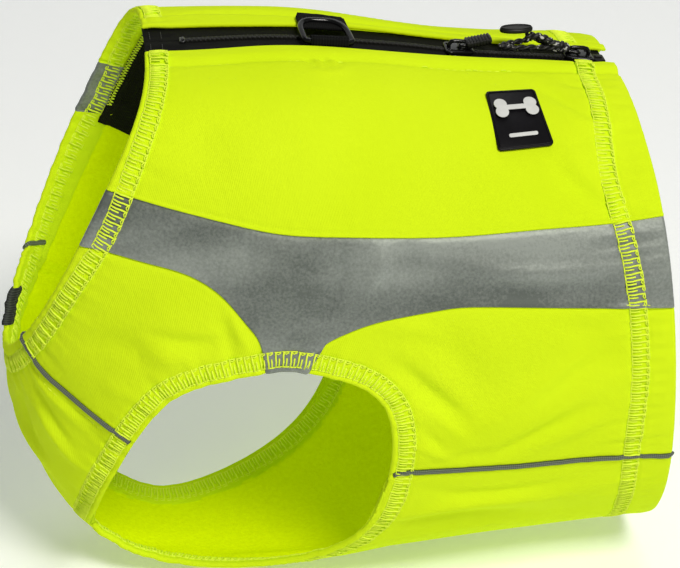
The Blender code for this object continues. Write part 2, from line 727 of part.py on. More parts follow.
def makeNeckTab():
    """A short tape folded over the neck edge, low on the right side."""
    above, below, beyond = -layGap, wall + layGap, -0.4
    profile = ((tabOuter, above - tabThick), (beyond - 0.9, above - tabThick),
               (beyond - 0.9, below + tabThick), (tabInner, below + tabThick),
               (tabInner, below), (beyond, below), (beyond, above), (tabOuter, above))
    girths = np.linspace(*tabGirth, 8)
    rings = [clothPoints(tangentPlace(0.0, girth, into, 0.0), depth)
             for girth in girths for into, depth in profile]
    n = len(profile)
    faces = [tuple(range(n)), tuple(reversed(range(len(rings) - n, len(rings))))]
    for j in range(len(girths) - 1):
        for k in range(n):
            a, b = j * n + k, j * n + (k + 1) % n
            faces.append((a, b, b + n, a + n))
    return addMesh("neck_tab", rings, faces, "grey_tab")


def makeFacings():
    """The black facing inside the neck, on each side of the zip."""
    steps, rows = 5, 10
    lower = line(facingLower, steps)
    upper = np.stack([lower[:, 0], np.full(steps + 1, tapeReach + layGap)], 1)
    grid = patch(upper, lower, straight(upper[0], lower[0], rows),
                 straight(upper[-1], lower[-1], rows))
    for side, place in (("left", grid), ("right", mirrored(grid))):
        addWall("neck_facing_" + side, place, wall + layGap, wall + layGap + facingThick,
                "black_webbing")


clearScene()
materials = makeMaterials()
seams = seamLines()
makePanels(seams)
for side, turn in (("left", 1), ("right", -1)):
    for place in ("front", "rear"):
        makePiping(f"piping_{place}_{side}", seams["piping " + place] * (1, turn))
makeZip()
makeSlider("slider_front", frontSliderX, 1)
makeSlider("slider_rear", rearSliderX, -1)
makePull("pull_front", frontSliderX, 1, frontPull)
makePull("pull_rear", rearSliderX, -1, rearPull)
makeRing()
makeRingHolders()
makeLabel()
makeNeckTab()
makeFacings()
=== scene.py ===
from math import cos, pi, radians, sin

import bmesh
import bpy
import numpy as np
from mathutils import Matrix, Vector


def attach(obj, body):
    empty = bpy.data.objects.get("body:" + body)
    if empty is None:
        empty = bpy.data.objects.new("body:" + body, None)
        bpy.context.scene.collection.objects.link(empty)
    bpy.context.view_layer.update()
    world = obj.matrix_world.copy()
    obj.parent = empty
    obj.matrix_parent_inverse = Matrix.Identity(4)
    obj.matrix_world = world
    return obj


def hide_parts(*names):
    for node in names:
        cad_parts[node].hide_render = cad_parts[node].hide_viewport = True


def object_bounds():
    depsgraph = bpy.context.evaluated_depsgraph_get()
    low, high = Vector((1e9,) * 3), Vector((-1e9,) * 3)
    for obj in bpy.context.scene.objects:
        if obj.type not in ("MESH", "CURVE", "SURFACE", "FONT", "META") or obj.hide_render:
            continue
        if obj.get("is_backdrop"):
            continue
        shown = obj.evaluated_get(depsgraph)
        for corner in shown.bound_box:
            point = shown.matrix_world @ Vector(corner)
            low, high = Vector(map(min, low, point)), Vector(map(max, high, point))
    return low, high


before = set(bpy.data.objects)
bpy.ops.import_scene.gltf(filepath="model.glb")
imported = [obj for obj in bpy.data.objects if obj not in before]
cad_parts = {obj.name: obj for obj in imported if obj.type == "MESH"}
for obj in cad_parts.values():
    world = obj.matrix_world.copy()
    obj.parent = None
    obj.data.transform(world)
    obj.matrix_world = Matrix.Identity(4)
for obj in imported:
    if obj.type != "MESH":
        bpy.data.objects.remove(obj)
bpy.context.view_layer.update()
mm = 0.001                    # lengths below are in millimetres until a mesh is made
seed = np.random.default_rng(7)

# Camera at the photo's angle
cameraPlace = {"azimuth": -7.0, "elevation": 28.0, "distance": 0.880,
               "target": (-0.016, 0.0, -0.102), "lens": 112.74, "sensor": 36.0}


def makeCamera(size):
    a, e = radians(size["azimuth"]), radians(size["elevation"])
    back = Vector((sin(a) * cos(e), -cos(a) * cos(e), sin(e)))
    data = bpy.data.cameras.new("photo camera")
    data.lens, data.sensor_width = size["lens"], size["sensor"]
    data.clip_start, data.clip_end = 0.01, 20.0
    camera = bpy.data.objects.new("photoCamera", data)
    camera.location = Vector(size["target"]) + back * size["distance"]
    camera.rotation_euler = back.to_track_quat("Z", "Y").to_euler()
    bpy.context.scene.collection.objects.link(camera)
    bpy.context.scene.camera = camera


makeCamera(cameraPlace)

# The garment's form: rings from the neck edge to the rear hem, as in the solids
bodyForm = {
    "stations": 241,          # rings worked out between those below
    "around": 321,            # points on each side of a ring
    "length": 225.0,          # of the cloth from the first ring to the last, about
    "mapLength": 0.23,        # the same in metres, as far as the weaves are laid
    "columns": ("station", "topX", "topZ", "bottomX", "bottomZ", "halfWidth", "widest",
                "topRound", "bottomRound", "lead"),
    "rings": (
        (0.0, -92.0, 9.5, -155.0, -116.0, 64.0, 0.42, 4.00, 1.70, -1.5),
        (0.2, -45.5, 8.5, -147.5, -166.0, 72.5, 0.44, 3.45, 1.99, 1.0),
        (0.4, -9.0, 5.0, -111.5, -214.0, 78.0, 0.46, 2.96, 2.21, 0.0),
        (0.6, 25.5, 0.5, -48.0, -223.5, 81.0, 0.46, 2.68, 2.25, 1.0),
        (0.8, 58.5, -3.0, 32.5, -217.0, 83.0, 0.43, 2.48, 2.11, 2.0),
        (1.0, 92.0, -6.5, 113.0, -212.5, 84.5, 0.39, 2.26, 2.03, 2.5),
    ),
}

# In how many steps the lines on the cloth are worked out
lineSteps = {"knot": 40, "straight": 40, "fold": 41, "crease": 33, "cover": 420, "hem": 900,
             "armholeTable": 700, "armhole": 420, "seam": 240, "curvedSeam": 160,
             "upperEdge": 600, "front": 240, "armholeTop": 60, "rear": 300,
             "armholeSide": 200, "underLeg": 340, "centreLine": 401}

# Seam lines as (station, girth from the centre of the back)
seamTables = {
    "zip edge": ((0.0, 14.4), (0.06, 14.2), (0.12, 13.2), (0.18, 11.3), (0.25, 10.2),
                 (0.4, 10.0), (0.75, 9.0), (1.0, 7.5)),
    "far zip edge": ((0.0, 12.4), (0.12, 11.4), (0.25, 11.2), (0.38, 12.4), (0.5, 11.6),
                     (0.75, 9.2), (1.0, 7.5)),
    "band top": ((0.0, 86.0), (0.12, 95.9), (0.2, 100.3), (0.325, 102.6), (0.43, 100.3),
                 (0.62, 95.9), (0.78, 91.5), (0.91, 88.6), (1.0, 85.6)),
    "band front": ((0.0, 110.5), (0.065, 115.5), (0.13, 120.3), (0.195, 124.1),
                   (0.265, 130.3), (0.32, 138.0), (0.35, 142.8), (0.38, 148.8),
                   (0.412, 161.0)),
    "band rear": ((0.476, 158.0), (0.475, 151.0), (0.482, 144.4), (0.51, 137.9),
                  (0.56, 131.0), (0.63, 125.5), (0.685, 122.7), (0.795, 121.8),
                  (0.93, 121.6), (1.0, 121.7)),
    "piping front": ((0.0, 173.0), (0.08, 187.0), (0.165, 198.0), (0.23, 204.0),
                     (0.282, 209.0)),
    "piping rear": ((0.651, 202.0), (0.68, 199.8), (0.735, 198.0), (0.81, 196.6),
                    (0.87, 195.0), (0.935, 194.4), (1.0, 196.0)),
    "armhole": (("front piping", 0.282, 209.0), ("front", 0.289, 186.0),
                ("front top", 0.333, 171.5), ("band front", 0.412, 161.0),
                ("band rear", 0.476, 158.0), ("rear top", 0.571, 162.0),
                ("rear", 0.628, 178.0), ("rear piping", 0.651, 202.0),
                ("lower rear", 0.657, 224.0), ("under rear", 0.643, 252.0),
                ("under", 0.580, 281.0), ("lowest", 0.470, 302.0),
                ("lower front", 0.388, 298.5), ("front corner", 0.336, 291.5),
                ("over corner", 0.312, 269.0), ("front edge", 0.295, 244.0),
                ("under piping", 0.287, 226.0)),
}


def smoothThrough(knots, values, at):        # a natural cubic
    knots, values, at = np.asarray(knots), np.asarray(values, float), np.asarray(at, float)
    step = np.diff(knots)
    rule = np.eye(len(knots))
    slopes = np.zeros_like(values)
    for i in range(1, len(knots) - 1):
        rule[i, i - 1:i + 2] = step[i - 1], 2 * (step[i - 1] + step[i]), step[i]
        slopes[i] = 6 * ((values[i + 1] - values[i]) / step[i]
                         - (values[i] - values[i - 1]) / step[i - 1])
    bend = np.linalg.solve(rule, slopes)
    k = np.clip(np.searchsorted(knots, at, side="right") - 1, 0, len(knots) - 2)
    shape = (-1,) + (1,) * (values.ndim - 1)
    h = step[k].reshape(shape)
    a = (knots[k + 1] - at).reshape(shape) / h
    b = 1 - a
    curved = ((a ** 3 - a) * bend[k] + (b ** 3 - b) * bend[k + 1]) * h * h / 6
    return a * values[k] + b * values[k + 1] + curved


def runOf(path):                             # the length from the start to each point
    return np.concatenate([[0.0], np.cumsum(np.linalg.norm(np.diff(path, axis=0), axis=1))])


def ringPoints(row):
    angle = np.linspace(0, pi, 8 * bodyForm["around"])
    across, along = np.sin(angle).clip(0, 1), np.cos(angle)
    upper = along >= 0
    power = 2 / np.where(upper, row["topRound"], row["bottomRound"])
    out, up = across ** power, np.abs(along) ** power
    height = row["topZ"] - row["bottomZ"]
    middle = row["topZ"] - height * row["widest"]
    z = middle + np.where(upper, (row["topZ"] - middle) * up, (row["bottomZ"] - middle) * up)
    fall = (row["topZ"] - z) / height
    x = row["topX"] + (row["bottomX"] - row["topX"]) * fall + row["lead"] * out
    return np.stack([x, -row["halfWidth"] * out, z], axis=1)


def makeForm():
    table = np.array(bodyForm["rings"])
    grid, girths = [], []
    for values in smoothThrough(table[:, 0], table, np.linspace(0, 1, bodyForm["stations"])):
        points = ringPoints(dict(zip(bodyForm["columns"], values)))
        length = runOf(points)
        at = np.linspace(0, length[-1], bodyForm["around"])
        left = np.stack([np.interp(at, length, points[:, k]) for k in range(3)], axis=1)
        grid.append(np.concatenate([left[:0:-1] * (1, -1, 1), left]))
        girths.append(length[-1])
    grid = np.array(grid)
    wrapped = np.concatenate([grid[:, -2:-1], grid, grid[:, 1:2]], axis=1)
    normal = np.cross((wrapped[:, 2:] - wrapped[:, :-2]) / 2, np.gradient(grid, axis=0))
    normal /= np.linalg.norm(normal, axis=2, keepdims=True)
    return grid, normal, np.array(girths)


formGrid, formNormal, formGirth = makeForm()


def halfGirth(station):
    return np.interp(station, np.linspace(0, 1, bodyForm["stations"]), formGirth)


def readForm(grid, station, girth):          # girth below 0 is the right side
    turn = girth / halfGirth(station)
    turn = np.where(turn > 1, turn - 2, turn)
    a = np.asarray(station) * (bodyForm["stations"] - 1)
    b = (turn + 1) * (bodyForm["around"] - 1)
    i = np.clip(np.floor(a).astype(int), 0, bodyForm["stations"] - 2)
    j = np.clip(np.floor(b).astype(int), 0, 2 * bodyForm["around"] - 3)
    fa, fb = (a - i)[..., None], (b - j)[..., None]
    near = grid[i, j] * (1 - fb) + grid[i, j + 1] * fb
    far = grid[i + 1, j] * (1 - fb) + grid[i + 1, j + 1] * fb
    return near * (1 - fa) + far * fa


def place(curve):
    return readForm(formGrid, curve[..., 0], curve[..., 1])


def evenly(curve, steps):                    # evenly spaced on the cloth
    run = runOf(place(curve))
    at = np.linspace(0, run[-1], steps + 1)
    return np.stack([np.interp(at, run, curve[:, k]) for k in range(2)], axis=1)


def throughPoints(table, steps):
    knots = np.arange(len(table))
    at = np.linspace(0, knots[-1], lineSteps["knot"] * len(table))
    return evenly(smoothThrough(knots, np.array(table), at), steps)


def alongStations(table, stations):
    knots = np.array(table)
    return np.stack([stations, smoothThrough(knots[:, 0], knots[:, 1], stations)], axis=1)


def armholeEdge(first, last, steps):
    names = [row[0] for row in seamTables["armhole"]]
    points = np.array([row[1:] for row in seamTables["armhole"]])
    ring = np.concatenate([points, points, points])    # three rounds, to read the middle one
    start, end = names.index(first) + len(names), names.index(last) + len(names)
    end += len(names) if end <= start else 0
    at = np.linspace(start, end, lineSteps["armholeTable"])
    return evenly(smoothThrough(np.arange(len(ring)), ring, at), steps)


def straight(start, end):
    t = np.linspace(0, 1, lineSteps["straight"] + 1)[:, None]
    return np.array(start) * (1 - t) + np.array(end) * t


def lengthOf(curve):
    return float(np.linalg.norm(np.diff(place(curve), axis=0), axis=1).sum())


# How finely the cloth is made, and how it is built up at hems and seams. A form beside a
# line has its height, how far from the line its middle is, and its breadth.
cloth = {
    "spacing": 1.3,           # between the mesh's points
    "bellySpacing": 1.495,
    "bellyDepth": 98.0,       # from the piping to the middle of the belly
    "thickness": 1.25,
    "hemThickness": 2.5,      # two layers
    "hemFade": 0.5,           # each way from where the second layer ends
    "puff": (0.35, 4.5, 3.4),                # a hem between its edge and its stitches
    "armholePuff": (0.28, 1.8, 1.5),
    "hemRipple": (0.6, 6.0, 5.0, 5.0),       # and how far its waves are shifted along
    "coverWidth": 6.5,        # between the coverstitch's two rails
    "coverDip": 0.22,         # between its rails
    "railDip": 0.45,
    "railWidth": 0.75,
    "pucker": 0.85,           # beside the coverstitches
    "puckerWidth": {"hem": 9.0, "armhole": 6.0},
    "topstitchDip": (0.45, 0.0, 0.6),
    "topstitchRipple": (0.16, 2.0, 3.0, 11.0),
    "zipGroove": (0.95, 0.0, 1.9),           # the soft valley along the stitches by the zip
    "zipRoll": (0.9, 0.6, 4.5),              # the roll between them and the zip, from, to
    "bellyRidge": (0.35, 1.6, 1.0),          # beside the stitches under the piping
    "over": (0.45, 0.0, 2.6),                # the upper cloth at a lapped seam
    "overEnd": (0.75, 0.0, 0.45),            # where it goes down at its edge, from, to
    "under": (0.45, 0.0, 1.4),               # the lower cloth
    "piped": (0.55, 0.0, 1.3),
    "foldWidth": 6.0,         # of the edge that is folded in beside the zip
    "foldDepth": 0.5,
    "seamReach": 12.0,        # past it nothing beside a seam is worked out
    "creasing": 1.9,          # how strongly the creases below are drawn
}
outOfReach = 99.0             # a distance past every form beside a line

# The coverstitch's centre line on each hem. Neck and rear: (girth, station)
coverLines = {
    "neck": ((17.8, 0.021), (49.0, 0.022), (63.0, 0.023), (82.0, 0.029), (98.0, 0.036),
             (110.0, 0.038), (121.0, 0.034), (157.0, 0.032), (219.0, 0.037)),
    "rear": ((10.0, 0.921), (45.0, 0.912), (74.0, 0.909), (89.0, 0.922), (121.0, 0.943),
             (150.0, 0.949), (190.0, 0.948), (243.0, 0.956), (300.0, 0.955)),
    "armhole": 5.8,           # from the edge
}
hemDepths = {"neck": 15.5, "rear": 19.5, "armhole": 11.0}

topstitches = {               # beside a seam: the seam, and how far off in girth
    "back by band": ("band top", -2.0),
    "belly by front piping": ("piping front", 4.6),
    "belly by rear piping": ("piping rear", 3.6),
}
backTopstitch = ((0.0, 25.0), (0.07, 25.5), (0.155, 23.2), (0.26, 20.8), (0.46, 18.2),
                 (0.56, 18.6), (0.67, 18.0), (0.84, 16.4), (0.92, 16.6), (1.0, 15.4))

# The solids' folds: from, to, breadth, height
folds = (
    ((0.80, 62.0), (0.97, 26.0), 11.0, 1.3),
    ((0.86, 80.0), (0.99, 50.0), 9.0, -1.1),
    ((0.70, 186.0), (0.97, 148.0), 13.0, 1.8),
    ((0.66, 170.0), (0.93, 134.0), 11.0, -1.4),
    ((0.68, 224.0), (0.95, 212.0), 10.0, 1.5),
    ((0.70, 240.0), (0.98, 236.0), 10.0, -1.5),
    ((0.16, 172.0), (0.30, 140.0), 12.0, 1.7),
    ((0.06, 160.0), (0.24, 160.0), 12.0, -1.4),
    ((0.04, 196.0), (0.24, 236.0), 11.0, 1.6),
    ((0.10, 188.0), (0.26, 222.0), 8.0, -1.5),
    ((0.78, -52.0), (0.97, -34.0), 12.0, 1.3),
    ((0.68, -178.0), (0.97, -158.0), 13.0, 1.7),
    ((0.66, -160.0), (0.92, -140.0), 11.0, -1.4),
    ((0.10, -150.0), (0.30, -172.0), 12.0, 1.5),
    ((0.05, -200.0), (0.22, -238.0), 11.0, 1.5),
    ((0.70, -236.0), (0.96, -222.0), 10.0, -1.4),
)

# Creases: path of (station, girth), breadth, height, and how much steeper one
# side is. Girth below zero is the right side.
creases = (
    # flank, from the leg hole and the band down to the valley, then up to the hem
    (((0.585, 146), (0.64, 156), (0.69, 166), (0.735, 175)), 5.0, -1.5, 0.7),
    (((0.60, 138), (0.66, 140), (0.71, 152), (0.745, 168)), 6.5, -0.9, 1.4),
    (((0.735, 178), (0.78, 165), (0.83, 151), (0.88, 139)), 4.6, 1.3, 0.7),
    (((0.76, 172), (0.82, 158), (0.88, 145), (0.92, 137)), 4.0, -0.8, 1.2),
    (((0.755, 194), (0.80, 184), (0.85, 172), (0.905, 160)), 4.6, -1.3, 0.7),
    (((0.80, 190), (0.86, 178), (0.92, 168)), 4.0, 0.8, 1.2),
    (((0.665, 186), (0.70, 189), (0.73, 194)), 2.6, 0.6, 0.8),
    (((0.665, 178), (0.69, 182), (0.71, 189)), 2.4, -0.5, 0.8),
    (((0.66, 168), (0.70, 174), (0.74, 184)), 3.0, 0.5, 0.8),
    (((0.70, 196), (0.74, 190), (0.78, 187)), 2.6, -0.5, 1.0),
    (((0.55, 136), (0.60, 133), (0.66, 136)), 3.5, 0.5, 1.0),
    (((0.82, 128), (0.86, 131), (0.90, 128)), 4.5, -0.45, 1.0),
    # belly beside and under the rear piping
    (((0.69, 209), (0.76, 213), (0.83, 211), (0.90, 206)), 4.0, -0.9, 0.7),
    (((0.67, 232), (0.73, 222), (0.80, 217), (0.88, 219)), 4.4, 0.9, 0.8),
    (((0.665, 240), (0.72, 232), (0.78, 229), (0.85, 231)), 4.0, -0.9, 1.2),
    (((0.70, 250), (0.78, 243), (0.88, 246)), 6.0, 0.8, 1.0),
    # shoulder
    (((0.185, 152), (0.235, 154), (0.285, 153), (0.325, 150)), 4.2, -1.1, 0.7),
    (((0.20, 163), (0.25, 162), (0.31, 160)), 4.6, 0.8, 1.0),
    (((0.10, 166), (0.15, 161), (0.20, 163), (0.25, 170)), 5.0, -0.8, 1.1),
    (((0.30, 137), (0.34, 146), (0.375, 155)), 2.4, 0.7, 0.8),
    (((0.285, 139), (0.32, 148), (0.35, 157)), 2.6, -0.6, 1.1),
    (((0.17, 180), (0.21, 184), (0.25, 190)), 4.0, 0.5, 1.0),
    (((0.08, 150), (0.13, 141), (0.18, 137)), 6.0, -0.5, 1.0),
    # chest, beside the front piping and down to the leg hole
    (((0.06, 190), (0.12, 199), (0.18, 208), (0.24, 216)), 3.2, 1.0, 0.8),
    (((0.07, 196), (0.12, 207), (0.17, 218), (0.22, 226)), 3.0, -1.1, 1.0),
    (((0.12, 212), (0.17, 222), (0.225, 232), (0.27, 238)), 3.6, 0.9, 0.7),
    (((0.05, 206), (0.10, 224), (0.15, 240), (0.21, 250)), 5.0, -0.9, 0.8),
    (((0.10, 246), (0.16, 254), (0.24, 258)), 5.0, 0.8, 1.0),
    # back, soft and wide, then towards the hem
    (((0.08, 60), (0.12, 70), (0.20, 82)), 9.0, -0.8, 1.0),
    (((0.18, 52), (0.28, 62), (0.36, 76)), 10.0, 0.7, 1.0),
    (((0.30, 40), (0.42, 52), (0.55, 60)), 12.0, -0.6, 1.0),
    (((0.55, 40), (0.62, 60), (0.70, 82)), 11.0, 0.5, 1.0),
    (((0.77, 27), (0.82, 34), (0.87, 42), (0.91, 46)), 3.6, -0.8, 0.7),
    (((0.78, 36), (0.83, 44), (0.88, 50)), 4.0, 0.5, 1.2),
    (((0.79, 66), (0.83, 72), (0.88, 80), (0.92, 84)), 3.6, -0.9, 0.7),
    (((0.80, 58), (0.85, 66), (0.90, 73)), 4.0, 0.6, 1.2),
    (((0.84, 22), (0.88, 27), (0.92, 28)), 2.8, -0.5, 0.8),
    # puckers where the loop is sewn through, below the ring
    (((0.266, 20), (0.280, 23), (0.296, 28)), 1.3, -0.42, 1.0),
    (((0.284, 19), (0.298, 23), (0.310, 28)), 1.2, 0.40, 1.0),
    (((0.298, 18.5), (0.314, 23), (0.326, 27)), 1.3, -0.45, 1.0),
    (((0.316, 18), (0.330, 22), (0.340, 25)), 1.2, 0.40, 1.0),
    (((0.332, 18), (0.346, 21), (0.358, 22)), 1.3, -0.40, 1.0),
    (((0.262, 29), (0.300, 31), (0.345, 29), (0.372, 24)), 2.4, 0.45, 1.0),
    # band
    (((0.24, 104), (0.28, 113), (0.31, 125)), 4.0, -0.6, 0.8),
    (((0.32, 106), (0.36, 118), (0.40, 136)), 4.4, 0.6, 1.0),
    (((0.42, 104), (0.46, 116), (0.45, 140)), 4.0, -0.6, 0.8),
    (((0.50, 101), (0.52, 110), (0.50, 124)), 3.6, 0.6, 0.9),
    (((0.55, 98), (0.57, 108), (0.60, 120)), 4.0, -0.6, 1.0),
    (((0.62, 104), (0.72, 108), (0.84, 107), (0.92, 104)), 4.4, 0.6, 0.7),
    (((0.64, 112), (0.74, 115), (0.86, 114), (0.93, 112)), 4.0, -0.6, 1.0),
    # the belly seen from inside through the leg hole, and under the body
    (((0.60, -262), (0.66, -240), (0.70, -222)), 7.0, -1.2, 0.8),
    (((0.66, -276), (0.72, -256), (0.78, -240)), 6.0, 1.2, 0.8),
    (((0.52, 312), (0.60, 300), (0.68, 286)), 6.0, -1.0, 0.8),
    (((0.66, 268), (0.74, 272), (0.84, 268)), 7.0, -1.0, 1.0),
    (((0.74, 292), (0.84, 300), (0.94, 296)), 8.0, 1.0, 1.0),
    (((0.30, 306), (0.40, 318), (0.50, 330)), 7.0, 0.9, 0.8),
    (((0.12, 270), (0.20, 276), (0.28, 270)), 6.0, -0.9, 0.8),
    (((0.06, 236), (0.12, 262), (0.20, 290)), 7.0, 0.8, 1.0),
    # the right side
    (((0.0, -25), (0.2, -27), (0.4, -25), (0.62, -22)), 12.0, 1.3, 1.0),
    (((0.59, -142), (0.65, -156), (0.72, -172)), 5.0, -1.4, 0.7),
    (((0.73, -176), (0.80, -160), (0.88, -142)), 4.6, 1.3, 0.7),
    (((0.75, -192), (0.82, -180), (0.90, -164)), 4.6, -1.2, 0.7),
    (((0.66, -188), (0.71, -190), (0.75, -196)), 2.8, 0.6, 0.8),
    (((0.64, -134), (0.70, -138), (0.76, -134)), 4.0, 0.5, 1.0),
    (((0.68, -212), (0.78, -214), (0.88, -208)), 4.0, -0.9, 0.7),
    (((0.67, -234), (0.76, -222), (0.88, -224)), 4.4, 0.9, 0.8),
    (((0.18, -150), (0.25, -156), (0.31, -152)), 4.4, -1.1, 0.7),
    (((0.17, -166), (0.24, -166), (0.31, -162)), 4.6, 0.8, 1.0),
    (((0.09, -140), (0.14, -148), (0.20, -150)), 6.0, -0.6, 1.0),
    (((0.29, -138), (0.33, -147), (0.37, -157)), 2.6, 0.7, 0.8),
    (((0.06, -190), (0.13, -201), (0.22, -213)), 3.2, 1.0, 0.8),
    (((0.07, -198), (0.13, -212), (0.20, -226)), 3.2, -1.1, 1.0),
    (((0.09, -222), (0.16, -240), (0.24, -252)), 5.0, 0.9, 0.8),
    (((0.10, -58), (0.18, -70), (0.26, -80)), 9.0, -0.8, 1.0),
    (((0.28, -44), (0.40, -56), (0.52, -62)), 12.0, 0.7, 1.0),
    (((0.52, -40), (0.62, -58), (0.70, -78)), 11.0, -0.6, 1.0),
    (((0.76, -30), (0.83, -40), (0.90, -48)), 4.0, -0.8, 0.7),
    (((0.78, -64), (0.85, -74), (0.92, -80)), 4.0, -0.9, 0.7),
    (((0.79, -54), (0.86, -62), (0.91, -68)), 4.2, 0.6, 1.2),
    (((0.26, -104), (0.32, -116), (0.38, -134)), 4.4, 0.6, 1.0),
    (((0.44, -102), (0.47, -116), (0.46, -138)), 4.0, -0.6, 0.8),
    (((0.56, -98), (0.60, -108), (0.64, -118)), 4.0, -0.5, 1.0),
    (((0.66, -106), (0.78, -108), (0.90, -104)), 4.4, 0.6, 0.7),
    (((0.84, -128), (0.88, -132), (0.92, -128)), 4.5, -0.45, 1.0),
)


def foldLift(base):
    lift = np.zeros(base.shape[:-1])
    for start, end, breadth, height in folds:
        t = np.linspace(0, 1, lineSteps["fold"])
        path = readForm(formGrid, start[0] + (end[0] - start[0]) * t,
                        start[1] + (end[1] - start[1]) * t)
        near = np.abs(base - path.mean(0)).max(-1) < breadth * 3 + 60
        gap = np.linalg.norm(base[near][:, None, :] - path, axis=-1)
        taper = np.sin(pi * (gap.argmin(-1) + 3.3) / (len(t) + 5.6))
        lift[near] += height * taper * np.exp(-(gap.min(-1) / breadth) ** 2)
    return lift


def creaseLift(base, normal):
    lift = np.zeros(base.shape[:-1])
    for points, breadth, height, skew in creases:
        knots = np.arange(len(points))
        t = np.linspace(0, knots[-1], lineSteps["crease"])
        path = place(smoothThrough(knots, np.array(points, float), t))
        low, high = path.min(0) - 3 * breadth, path.max(0) + 3 * breadth
        near = np.all((base > low) & (base < high), axis=-1)
        if not near.any():
            continue
        span = base[near][:, None, :] - path
        gap = np.linalg.norm(span, axis=-1)
        k = gap.argmin(-1)
        along = np.gradient(path, axis=0)[k]
        off = span[np.arange(len(k)), k]
        side = np.einsum("ij,ij->i", np.cross(along, normal[near]), off)
        width = breadth * np.where(side > 0, 1.0, skew)
        taper = np.sin(pi * (k + 1.2) / (len(t) + 1.4)) ** 1.2
        lift[near] += cloth["creasing"] * height * taper * np.exp(-(gap.min(-1) / width) ** 2)
    return lift


def lineDistance(base, curve, closed=False, reach=30.0):
    # distance of each point to a line on the cloth, and where along it. Points past its
    # reach are left out, and the rest are worked out in lots, to spare memory.
    atOnce = 4000
    path = place(curve)
    if closed:
        path = np.concatenate([path, path[:1]])
    run = runOf(path)
    flat = base.reshape(-1, 3)
    distance, along = np.full(len(flat), outOfReach), np.zeros(len(flat))
    close = np.all((flat > path.min(0) - reach) & (flat < path.max(0) + reach), axis=1)
    index = np.nonzero(close)[0]
    for some in np.array_split(index, max(1, len(index) // atOnce)):
        if not len(some):
            continue
        p = flat[some]
        gap = (p ** 2).sum(1)[:, None] + (path ** 2).sum(1)[None] - 2 * p @ path.T
        k = gap.argmin(1)
        best, where = np.full(len(some), np.inf), np.zeros(len(some))
        for j in (np.clip(k - 1, 0, len(path) - 2), np.clip(k, 0, len(path) - 2)):
            step = path[j + 1] - path[j]
            t = (((p - path[j]) * step).sum(1) / (step ** 2).sum(1).clip(1e-9)).clip(0, 1)
            d = np.linalg.norm(p - path[j] - step * t[:, None], axis=1)
            better = d < best
            best[better] = d[better]
            where[better] = (run[j] + t * (run[j + 1] - run[j]))[better]
        distance[some], along[some] = best, where
    return distance.reshape(base.shape[:-1]), along.reshape(base.shape[:-1])


def wholeCover(name):
    # centre line of a hem's coverstitch, from the zip down the left side, under the body
    # and up the right side
    table = np.array(coverLines[name])
    girth = np.linspace(table[0, 0], table[-1, 0], lineSteps["cover"])
    left = np.stack([smoothThrough(table[:, 0], table[:, 1], girth), girth], axis=1)
    left = left[left[:, 1] < halfGirth(left[:, 0]) - 0.01]
    right = left[::-1].copy()
    right[:, 1] = 2 * halfGirth(right[:, 0]) - right[:, 1]
    return np.concatenate([left, right])


def offEdge(curve, distance, toward):
    # moves a line sideways along the cloth, to the side that toward, 1 or -1, gives. It is
    # taken as closed, so the ends of an open one are cut off afterwards.
    points = place(curve)
    normal = readForm(formNormal, curve[:, 0], curve[:, 1])
    along = np.roll(points, -1, 0) - np.roll(points, 1, 0)
    side = np.cross(along, normal)
    side *= toward / np.linalg.norm(side, axis=1, keepdims=True)
    return curve + stationGirthStep(curve, side * distance)


def stationGirthStep(curve, move):
    # the change of station and girth that moves a point by this much on the cloth
    u, g = curve[..., 0], curve[..., 1]
    # differences are taken inwards at the two ends
    du = np.where(u < 0.5, 0.004, -0.004)
    perStation = (readForm(formGrid, u + du, g) - readForm(formGrid, u, g)) / du[..., None]
    perGirth = (readForm(formGrid, u, g + 1.0) - readForm(formGrid, u, g - 1.0)) / 2
    aa, bb = (perStation ** 2).sum(-1), (perGirth ** 2).sum(-1)
    ab = (perStation * perGirth).sum(-1)
    ma, mb = (perStation * move).sum(-1), (perGirth * move).sum(-1)
    det = aa * bb - ab * ab
    return np.stack([(ma * bb - mb * ab) / det, (mb * aa - ma * ab) / det], axis=-1)


armLoop = armholeEdge("front piping", "front piping", lineSteps["armhole"])[:-1]
armLoops = {"left": armLoop, "right": armLoop * (1, -1)}
armCovers = {side: offEdge(loop, coverLines["armhole"], turn)
             for (side, loop), turn in zip(armLoops.items(), (-1, 1))}
hemLines = {}
for name, station in (("neck", 0.0), ("rear", 1.0)):
    girths = np.linspace(-halfGirth(station), halfGirth(station), lineSteps["hem"])
    hemLines[name] = np.stack([np.full(len(girths), station), girths], axis=1)
waves = [(seed.uniform(4.2, 6.5), seed.uniform(0, 6.3), 0.30),
         (seed.uniform(7.5, 11.0), seed.uniform(0, 6.3), 0.34),
         (seed.uniform(13.0, 19.0), seed.uniform(0, 6.3), 0.36)]


def ripple(along, strength, shift=0.0):      # uneven waves along a line
    total = sum(part * np.sin(2 * pi * (along + shift) / length + phase)
                for length, phase, part in waves)
    slow = 0.55 + 0.45 * np.sin(along / 23.0 + shift) * np.sin(along / 41.0 + 1.3 + shift)
    return strength * total * slow


def smoothStep(value, low, high):
    t = np.clip((value - low) / (high - low), 0, 1)
    return t * t * (3 - 2 * t)


def swell(distance, height, middle, breadth):
    # a soft form beside a line, this far from it
    return height * np.exp(-((distance - middle) / breadth) ** 2)


def seamCurve(name, turn):
    if name in ("zip edge", "band top"):
        table = "far zip edge" if name == "zip edge" and turn < 0 else name
        stations = np.linspace(0, 1, lineSteps["seam"])
        return alongStations(seamTables[table], stations) * (1, turn)
    return throughPoints(seamTables[name], lineSteps["curvedSeam"]) * (1, turn)


